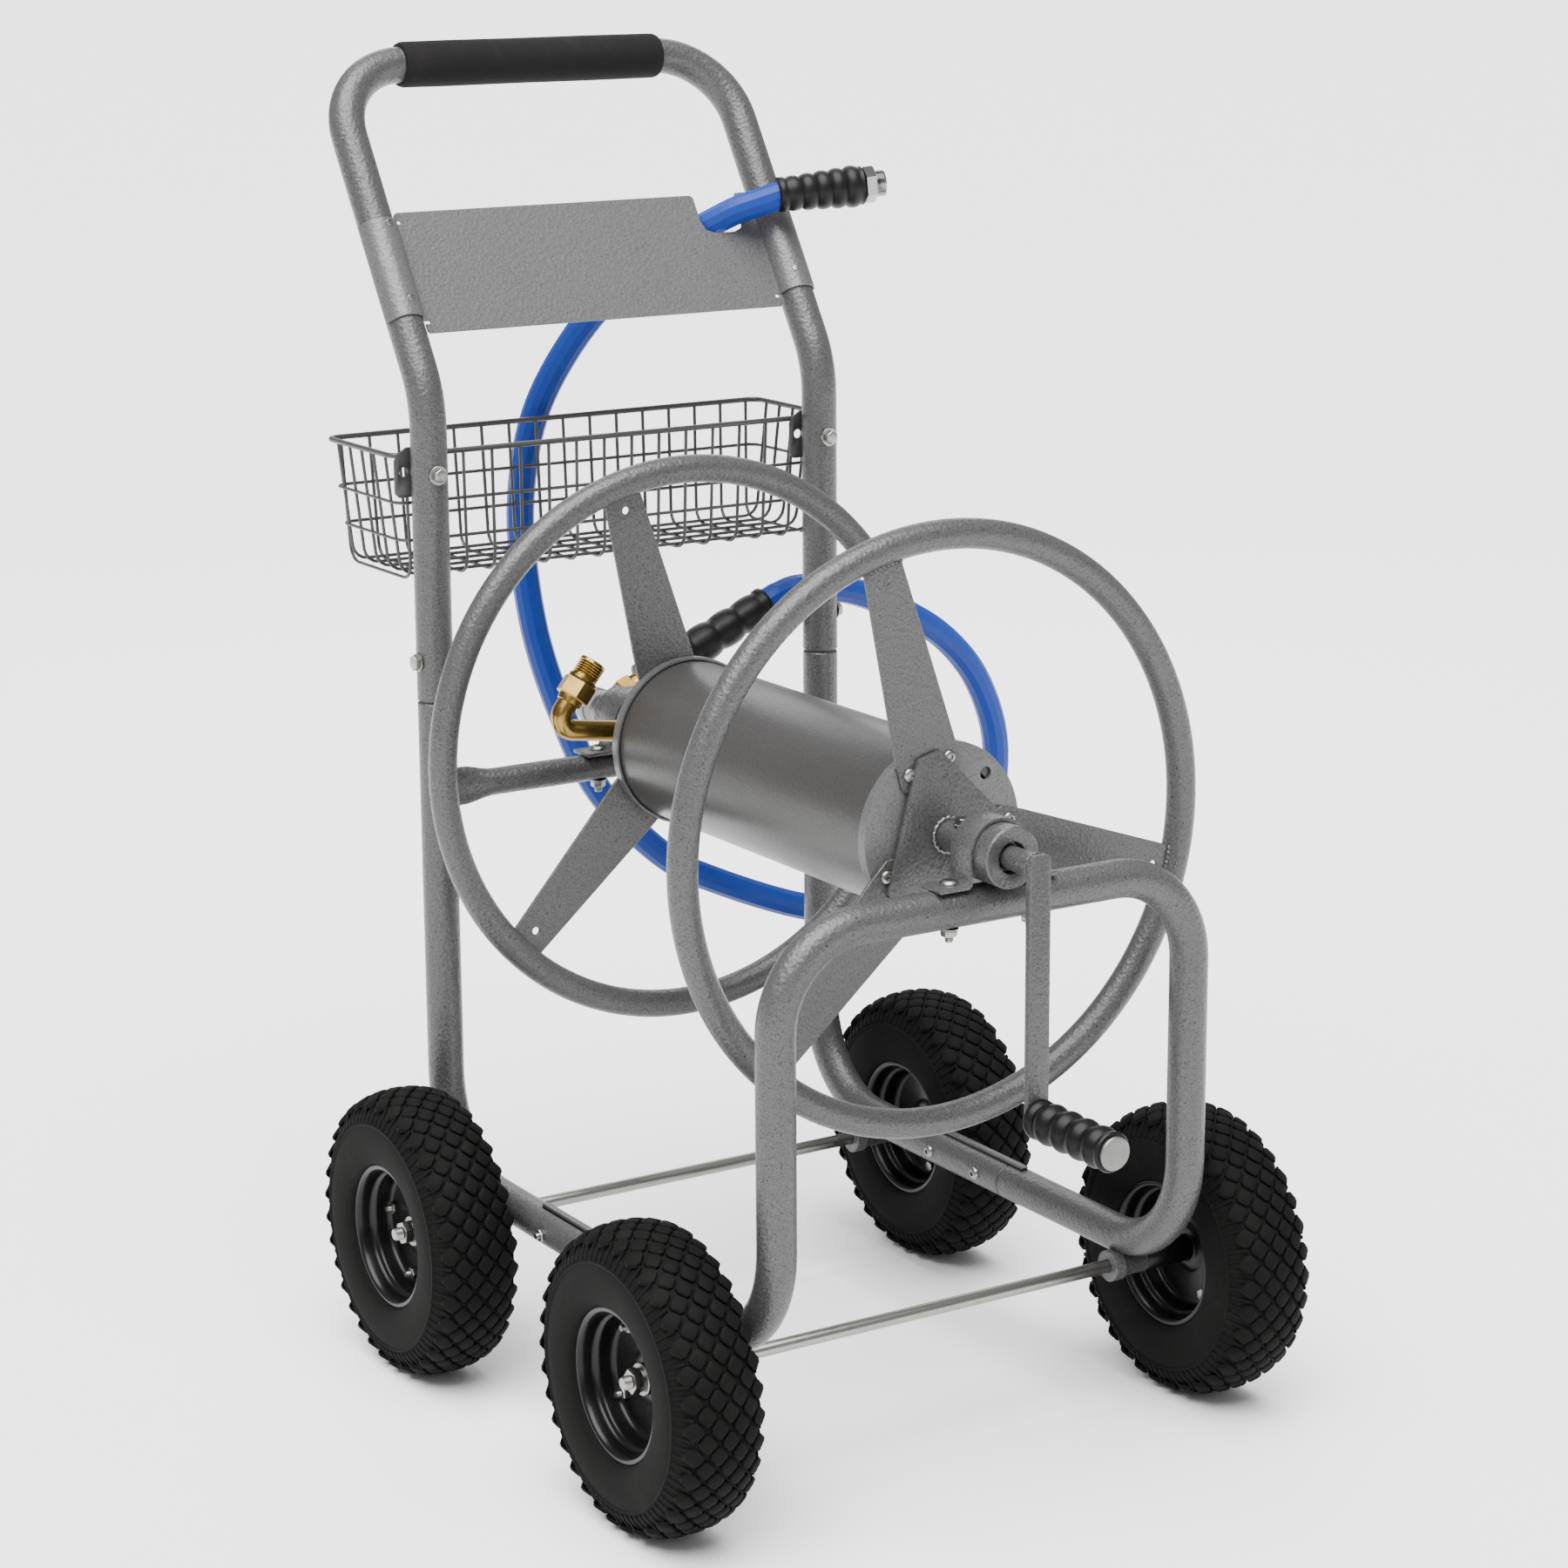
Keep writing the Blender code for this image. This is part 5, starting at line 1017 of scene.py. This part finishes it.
for end, hand in (("front", -1), ("rear", 1)):
    for side, word in ((-1, "left"), (1, "right")):
        name = end + "_" + word
        body = "wheel_" + name
        title = end.title() + word.title()
        hub = at(side * wheel["track"], hand * wheel["reach"], wheel["height"])
        turn = wheel["turns"][name]
        tyre = placeCopy(tyreModel, hub, turn)
        finishPiece(tyre, "tyre" + title, tyreBlack, body, ["tyre_" + name], 38)
        rim = placeCopy(rimModels[side], hub, turn)
        finishPiece(
            rim, "rim" + title, glossBlack, body, ["rim_outer_" + name, "rim_inner_" + name],
            45)
        bolts = placeCopy(boltModels[side], hub, turn)
        finishPiece(bolts, "rimBolts" + title, zinc, body, [], 30)
        outer = Vector((side, 0, 0))
        nutPlace = hub + outer * wheel["nut"]
        axleWasher = turnPiece([
            (0.0066, 0), (0.0134, 0), (0.0140, 0.0005), (0.0140, 0.0015), (0.0134, 0.0020), (0.0066, 0.0020)],
            48, True, nutPlace, outer)
        lockWasher = turnPiece([
            (0.0066, 0.0021), (0.0098, 0.0021), (0.0100, 0.0024), (0.0100, 0.0038), (0.0066, 0.0040)],
            32, True, nutPlace, outer)
        nut = turnPiece([
            (0.0105, 0.0042), (0.0110, 0.0048), (0.0110, 0.0108), (0.0105, 0.0118), (0.0088, 0.0122),
            (0.0062, 0.0122), (0.0062, 0.0042)], 6, True, nutPlace, outer, 0.4 * side + hand * 0.3)
        finishPiece(joinPieces([axleWasher, lockWasher, nut]), "axleNut" + title, zinc, "cart",
            ["axle_nut_" + name],
                    30)
        sleevePlace = at(side * wheel["sleeve"], hand * wheel["reach"], wheel["height"])
        sleeve = turnPiece([
            (0.0063, 0), (0.0132, 0), (0.0140, 0.0008), (0.0140, 0.0112), (0.0132, 0.0120), (0.0120, 0.0124),
            (0.0116, 0.0130), (0.0116, 0.0369), (0.0110, 0.0375),
            (0.0063, 0.0375)], 40, True, sleevePlace, outer)
        finishPiece(sleeve, "axleSleeve" + title, hammered, "cart", ["axle_sleeve_" + name],
            40)
    rodPlace = at(-wheel["axleEnd"], hand * wheel["reach"], wheel["height"])
    threads = [(0.0059 - 0.0006 * (step % 2), 0.0012 + 0.0007 * step) for step in range(26)]
    length = 2 * wheel["axleEnd"]
    rod = turnPiece(
        [(0.0048, 0)] + threads + [(0.0060, 0.0200), (0.0060, length - 0.0200)]
        + [(radius, length - height) for radius, height in reversed(threads)] + [(0.0048, length)],
        28, False, rodPlace, (1, 0, 0))
    finishPiece(rod, end + "Axle", zinc, "cart", [end + "_axle"], 35)
for model in [tyreModel] + list(rimModels.values()) + list(boltModels.values()):
    bpy.data.objects.remove(model)


print("reel")
reel = {
    "height": 0.552, "ring": 0.2485, "ringTube": 0.0127, "front": -0.219, "rear": 0.194,
    "plateFront": -0.2205, "plateRear": 0.1955, "drum": 0.0735, "end": 0.077, "lip": 0.010, "spoke": 0.003,
    "spokes": (105, -15, -135), "bolt": 0.0645, "boltTurn": 18.3, "hub": 0.004, "hubIn": 0.046,
    "hubCorner": 0.073, "stub": 0.013, "stubFront": -0.312, "stubRear": 0.325, "hole": 0.2235,
    "plateHoleTurn": 46.5, "plateHole": 0.062, "setBolt": -0.250,
}
reelLevel = reel["height"]


def reelAt(turn, reach, place):
    angle = math.radians(turn)
    return at(reach * math.cos(angle), place, reelLevel + reach * math.sin(angle))


def makeRing(place):
    profile = [(reel["ring"] + reel["ringTube"] * math.cos(math.radians(turn)),
                reel["ringTube"] * math.sin(math.radians(turn))) for turn in range(0, 360, 15)]
    return turnPiece(profile, 144, True, at(0, place, reelLevel), (0, 1, 0))


def makeSpoke(turn, low, high):
    outline = [(0.0400, -0.0190), (0.0510, -0.0300), (0.0750, -0.0300), (0.2440, -0.0180), (0.2440, 0.0180),
               (0.0750, 0.0300), (0.0510, 0.0300), (0.0400, 0.0190)]
    angle = math.radians(turn)
    turned = []
    for along, side in outline:
        turned.append((
            along * math.cos(angle) - side * math.sin(angle),
            reelLevel + along * math.sin(angle) + side * math.cos(angle)))
    hole = (reel["hole"] * math.cos(angle), reelLevel + reel["hole"] * math.sin(angle), 0.0035)
    return sheetPiece(turned, at(0, low, 0).y, at(0, high, 0).y, "XZ", 0.0005, [hole])


def spokeWeld(turn, place):
    # a rippled seam where the spoke meets the ring, on both faces
    seams = []
    for side in (-1, 1):
        for step in range(9):
            across = -0.0165 + 0.033 * step / 8
            angle = math.radians(turn)
            reach = math.sqrt((reel["ring"] - reel["ringTube"] + 0.0012) ** 2 - across ** 2)
            spot = at(reach * math.cos(angle) - across * math.sin(angle), place + side * 0.0020,
                      reelLevel + reach * math.sin(angle) + across * math.cos(angle))
            seams.append(turnPiece(
                [(0.0012, -0.0022), (0.0025, -0.0010), (0.0025, 0.0010), (0.0012, 0.0022)], 8, False, spot,
                (math.cos(angle), 0, math.sin(angle))))
    return seams


def makeHubPlate(low, high):
    # a triangle with its three corners cut off square
    outline = []
    spread = 60 - math.degrees(math.acos(reel["hubIn"] / reel["hubCorner"]))
    for turn in reel["spokes"]:
        for swing in (-1, 1):
            angle = math.radians(turn + swing * spread)
            outline.append((reel["hubCorner"] * math.cos(angle),
                reelLevel + reel["hubCorner"] * math.sin(angle)))
    outline.sort(key=lambda spot: math.atan2(spot[1] - reelLevel, spot[0]))
    return sheetPiece(outline, at(0, low, 0).y, at(0, high, 0).y, "XZ", 0.0008)


spokeFront = reel["plateFront"] - 0.0003 - reel["spoke"]
spokeRear = reel["plateRear"] + 0.0003
for word, place, low in (("Front", reel["front"], spokeFront), ("Rear", reel["rear"], spokeRear)):
    parts = [makeRing(place)]
    for turn in reel["spokes"]:
        parts.append(makeSpoke(turn, low, low + reel["spoke"]))
        parts += spokeWeld(turn, low + reel["spoke"] / 2)
    finishPiece(joinPieces(parts), "reelRim" + word, hammered, "reel", ["reel_rim_" + word.lower()],
                25)
drumLength = reel["plateRear"] - reel["plateFront"] - 0.0056
drum = turnPiece([
    (0.060, 0), (reel["drum"], 0), (reel["drum"], drumLength * 0.5), (reel["drum"], drumLength),
    (0.060, drumLength)],
    128, True, at(0, reel["plateFront"] + 0.0028, reelLevel), (0, 1, 0))
finishPiece(drum, "reelDrum", drumPaint, "reel", ["drum"], 40)
for word, place, way, hand in (("Front", reel["plateFront"], 1, -1), ("Rear", reel["plateRear"], -1, 1)):
    endPlate = turnPiece([
        (0.0145, 0), (0.0752, 0), (0.0766, 0.0006), (reel["end"], 0.0020), (reel["end"], reel["lip"]),
        (0.0749, reel["lip"]), (0.0749, 0.0026), (0.0145, 0.0026)], 128, True, at(0, place, reelLevel), (0,
        way, 0))
    drill = turnPiece([(0.0055, -0.02), (0.0055, 0.02)], 32, False,
        reelAt(reel["plateHoleTurn"], reel["plateHole"], place), (0, 1, 0))
    applyModifier(endPlate, "BOOLEAN", object=drill, operation="DIFFERENCE", solver="EXACT")
    bpy.data.objects.remove(drill)
    # the end plates take the lighter copy of the paint, with its painted top light
    finishPiece(endPlate, "drumEnd" + word, hammeredSheetPaintedLight, "reel", ["drum_plate_" + word.lower()],
        25)
    hubLow = (spokeFront - 0.0003 - reel["hub"]) if hand < 0 else (spokeRear + reel["spoke"] + 0.0003)
    hubFace = hubLow if hand < 0 else hubLow + reel["hub"]
    stubEnd = reel["stubFront"] if hand < 0 else reel["stubRear"]
    stubLength = abs(stubEnd - hubFace)
    stub = turnPiece([
        (0.0104, 0), (reel["stub"], 0), (reel["stub"], stubLength - 0.0006),
        (reel["stub"] - 0.0006, stubLength), (0.0108, stubLength),
        (0.0104, stubLength - 0.0005)], 48, True, at(0, hubFace, reelLevel), (0, hand, 0))
    hubParts = [makeHubPlate(hubLow, hubLow + reel["hub"]), stub]
    bead = weldBead(at(0, hubFace + hand * 0.0008, reelLevel), (0, hand, 0), 0.0140, 0.0024, 18, 5 + hand)
    finishPiece(joinPieces(hubParts), "reelHub" + word, hammered, "reel", ["reel_hub_" + word.lower()],
                25)
    finishPiece(bead, "hubWeld" + word, castMetal, "reel", [], 60)
    bolts = []
    for turn in reel["spokes"]:
        for swing in (-1, 1):
            face = spokeFront if hand < 0 else spokeRear + reel["spoke"]
            bolts.append(roundBolt(reelAt(turn + swing * reel["boltTurn"], reel["bolt"],
                face - hand * 0.0002),
                                   (0, hand, 0)))
    finishPiece(joinPieces(bolts), "spokeBolts" + word, zinc, "reel", [], 35)
# a black band just inside the stub's mouth: painted shade for its dark bore
mouth = turnPiece([(0.0101, 0), (0.0103, 0), (0.0103, 0.020), (0.0101, 0.020)], 40, True,
                  at(0, reel["stubFront"] + 0.0010, reelLevel), (0, 1, 0))
finishPiece(mouth, "stubMouth", paintedShadeBlack, "reel")
setBolt = hexBolt(at(0, reel["setBolt"], reelLevel + reel["stub"] - 0.0006), (0, 0, 1), 0.0120, 0.0052,
    0.0014, 0.0075, 0.0)
setBead = weldBead(at(0, reel["setBolt"], reelLevel + reel["stub"] + 0.0002), (0, 0, 1), 0.0066, 0.0014, 12,
    9)
finishPiece(joinPieces([setBolt, setBead]), "setBolt", zinc, "reel", ["stub_bolt"], 35)


print("bearings")
bearing = {
    "ring": 0.026, "bore": 0.0133, "inset": 0.020, "outset": 0.032, "sheet": 0.0035, "width": 0.028,
    "foot": 0.058, "bolt": 0.040,
}
for word, hand, seat, bar in (("front", -1, 0.5255, tube["radius"]), ("rear", 1, 0.5257, cross["radius"])):
    middle = hand * tube["reach"]
    length = bearing["inset"] + bearing["outset"]
    ring = turnPiece([
        (bearing["bore"], 0.0004), (bearing["bore"] + 0.0006, 0), (bearing["ring"] - 0.0012, 0),
        (bearing["ring"], 0.0012), (bearing["ring"], length - 0.0014), (bearing["ring"] - 0.0014, length),
        (bearing["bore"] + 0.0010, length), (bearing["bore"], length - 0.0008)], 72, True,
        at(0, middle - hand * bearing["inset"], reelLevel), (0, hand, 0))
    finishPiece(ring, "bearingRing" + word.title(), hammered, "cart", ["bearing_ring_" + word],
        40)
    innerRadius, outerRadius = bearing["ring"] + 0.0002, bearing["ring"] + 0.0002 + bearing["sheet"]
    foot = seat + 0.0002
    path = [(-bearing["foot"], foot + bearing["sheet"]), (-outerRadius - 0.0060, foot + bearing["sheet"]),
            (-outerRadius - 0.0022, foot + bearing["sheet"] + 0.0010),
            (-outerRadius - 0.0004, foot + bearing["sheet"] + 0.0040)]
    for step in range(25):
        angle = math.pi * (1 - step / 24)
        path.append((outerRadius * math.cos(angle), reelLevel + outerRadius * math.sin(angle)))
    path += [(-x, z) for x, z in reversed(path[:4])]
    path += [(bearing["foot"], foot), (outerRadius - 0.0002, foot)]
    path += [(innerRadius + 0.0002, foot + 0.0030)]
    for step in range(25):
        angle = math.pi * step / 24
        path.append((innerRadius * math.cos(angle), reelLevel + innerRadius * math.sin(angle)))
    path += [(-innerRadius - 0.0002, foot + 0.0030), (-outerRadius + 0.0002, foot), (-bearing["foot"], foot)]
    strap = sheetPiece(path, at(0, middle - bearing["width"] / 2, 0).y,
        at(0, middle + bearing["width"] / 2, 0).y, "XZ",
                       0.0006)
    finishPiece(strap, "bearingStrap" + word.title(), hammered, "cart", ["bearing_strap_" + word],
        25)
    for side, sideWord in ((-1, "left"), (1, "right")):
        spot = at(side * bearing["bolt"], middle, foot + bearing["sheet"] - 0.0002)
        head = roundBolt(spot, (0, 0, 1), 0.0080, 0.0042, 0.0026)
        under = hexBolt(at(side * bearing["bolt"], middle, seat - 2 * bar + 0.0004), (0, 0, -1), 0.0120,
            0.0062, 0.0012,
                        0.0080, 0.0045)
        finishPiece(joinPieces([head, under]), "strapBolt" + word.title() + sideWord.title(), zinc, "cart",
                    ["strap_bolt_" + word + "_" + sideWord], 30)


print("crank")
crank = {
    "rod": 0.010, "rodStart": -0.236, "rodLength": 0.116, "back": -0.352, "sheet": 0.006, "half": 0.0105,
    "drop": 0.209, "gripStart": -0.3583, "gripLength": 0.1004, "pin": 0.005, "pinLength": 0.104, "ribs": 4,
    "waist": 0.0136, "swell": 0.0040,
}
armTop = reelLevel + 0.0105
armLow = reelLevel - crank["drop"]
armOutline = [(-crank["half"], armTop - 0.004), (-crank["half"] + 0.004, armTop),
    (crank["half"] - 0.004, armTop),
              (crank["half"], armTop - 0.004)]
for step in range(13):
    angle = -math.pi * step / 12
    armOutline.append((crank["half"] * math.cos(angle), armLow + crank["half"] * math.sin(angle)))
arm = sheetPiece(armOutline, at(0, crank["back"] - crank["sheet"], 0).y, at(0, crank["back"], 0).y, "XZ",
    0.0009)
crankRod = turnPiece([
    (0.0092, 0), (crank["rod"], 0.0008), (crank["rod"], crank["rodLength"])], 48, False,
    at(0, crank["rodStart"], reelLevel), (0, -1, 0))
crankBead = weldBead(at(0, crank["back"] + 0.0006, reelLevel), (0, 1, 0), 0.0104, 0.0016, 14, 11)
finishPiece(joinPieces([arm, crankRod, crankBead]), "crankArm", hammered, "reel", ["crank"],
    25)
gripProfile = [(0.0140, 0), (0.0162, 0.0006), (0.0170, 0.0024), (0.0166, 0.0060), (0.0140, 0.0088)]
ribStart, ribEnd = 0.0090, crank["gripLength"] - 0.0070
for step in range(1, 49):
    share = step / 48
    bulge = (0.5 - 0.5 * math.cos(2 * math.pi * share * crank["ribs"])) ** 0.75
    gripProfile.append((crank["waist"] + crank["swell"] * bulge, ribStart + (ribEnd - ribStart) * share))
gripProfile += [(0.0164, crank["gripLength"] - 0.0058), (0.0170, crank["gripLength"] - 0.0022),
                (0.0160, crank["gripLength"] - 0.0006), (0.0140, crank["gripLength"])]
gripProfile = [(0.0056, 0)] + gripProfile + [(0.0056, crank["gripLength"])]
crankGrip = turnPiece(gripProfile, 56, True, at(0, crank["gripStart"], armLow), (0, -1, 0))
finishPiece(crankGrip, "crankGripSleeve", gripBlack, "crank_grip", ["crank_grip"], 40)
capStart = crank["gripStart"] - crank["gripLength"] - 0.0003
cap = turnPiece([
    (0.0128, 0), (0.0140, 0.0004), (0.0140, 0.0020), (0.0132, 0.0030), (0.0100, 0.0034),
    (0.0060, 0.0035)], 48, False,
    at(0, capStart, armLow), (0, -1, 0))
pinShaft = turnPiece(
    [(crank["pin"], 0), (crank["pin"], crank["pinLength"])], 32, False, at(0, crank["back"] - 0.0020, armLow),
    (0, -1, 0))
pinNut = hexBolt(at(0, crank["back"] - 0.0002, armLow), (0, 1, 0), 0.0130, 0.0060, 0.0, 0.0, 0.003)
finishPiece(joinPieces([cap, pinShaft, pinNut]), "crankPin", castMetal, "reel", ["crank_pin"], 35)


print("water parts")
water = {
    "reach": 0.230, "cornerX": -0.120, "cornerRise": 0.017, "pipe": 0.00975, "outTurn": 51.5,
    "outLength": 0.073, "nutStart": 0.034, "nutEnd": 0.052, "nut": 0.0165, "thread": 0.0128, "swivel": 0.018,
}
elbowCorner = at(water["cornerX"], water["reach"], reelLevel + water["cornerRise"])
elbowWay = Vector((math.cos(math.radians(water["outTurn"])), 0, math.sin(math.radians(water["outTurn"]))))
elbowStart = at(0, water["reach"], reelLevel).lerp(elbowCorner, 0.09)
elbowPipe = bendTube([elbowStart, elbowCorner, elbowCorner + elbowWay * (water["nutStart"] + 0.004)],
    [0.0125],
                     water["pipe"], 36, 10)
neck = turnPiece([
    (water["pipe"], 0), (0.0112, 0.0010), (0.0118, 0.0045), (0.0118, 0.0062)], 36, False,
    elbowCorner + elbowWay * (water["nutStart"] - 0.006), elbowWay)
nutLength = water["nutEnd"] - water["nutStart"]
elbowNut = turnPiece([
    (0.0148, 0), (water["nut"], 0.0014), (water["nut"], nutLength - 0.0016), (0.0148, nutLength)], 6, False,
    elbowCorner + elbowWay * water["nutStart"], elbowWay, 0.2)
threadLength = water["outLength"] - water["nutEnd"]
profile = [(0.0120, 0), (0.0135, 0.0006), (0.0135, 0.0030), (0.0118, 0.0036)]
for step in range(1, 13):
    profile.append((water["thread"] - 0.0011 * (step % 2), 0.0036 + 0.0012 * step))
profile += [(0.0122, threadLength - 0.0004), (0.0118, threadLength), (0.0092, threadLength),
            (0.0086, threadLength - 0.0006), (0.0084, 0)]
elbowThread = turnPiece(profile, 44, True, elbowCorner + elbowWay * water["nutEnd"], elbowWay)
# a black disc just inside the elbow's thread: painted shade for its dark bore
elbowBore = turnPiece([(0.0084, 0), (0.0084, 0.0008)], 32, False,
    elbowCorner + elbowWay * (water["nutEnd"] + 0.001),
                      elbowWay)
finishPiece(joinPieces([elbowPipe, neck, elbowNut, elbowThread]), "outletElbow", brass, "reel",
    ["outlet_elbow"],
            35)
finishPiece(elbowBore, "elbowBore", paintedShadeBlack, "reel")
swivelPlace = at(0, reel["stubRear"] + 0.0003, reelLevel)
swivelBody = turnPiece([
    (0.0134, 0), (0.0150, 0.0006), (0.0150, 0.0050), (0.0170, 0.0058), (water["swivel"], 0.0070),
    (water["swivel"], 0.0160), (0.0168, 0.0170), (0.0168, 0.0300), (water["swivel"], 0.0310),
    (water["swivel"], 0.0420), (0.0172, 0.0440), (0.0150, 0.0460),
    (0.0100, 0.0466)], 56, False, swivelPlace, (0, 1, 0))
swivelBoss = turnPiece([
    (0.0120, 0.006), (0.0120, 0.0205), (0.0114, 0.0212), (0.0114, 0.0236)], 40, False, inletCentre, inletWay)
finishPiece(joinPieces([swivelBody, swivelBoss]), "swivelBody", castMetal, "cart", ["swivel_body"],
    35)
tapeProfile = [(0.0168, 0.0175)] + [(0.01715 + 0.0002 * (step % 2),
    0.0180 + 0.0009 * step) for step in range(13)]
tapeProfile += [(0.0168, 0.0296), (0.0160, 0.0296), (0.0160, 0.0175)]
threadTape = turnPiece(tapeProfile, 56, True, swivelPlace, (0, 1, 0))
finishPiece(threadTape, "threadTape", tapeWhite, "cart")
bossTape = turnPiece([
    (0.0114, 0.0212), (0.0121, 0.0214), (0.0122, 0.0228), (0.0121, 0.0237), (0.0114, 0.0239),
    (0.0110, 0.0212)], 40,
    True, inletCentre, inletWay)
finishPiece(bossTape, "bossTape", tapeWhite, "cart")
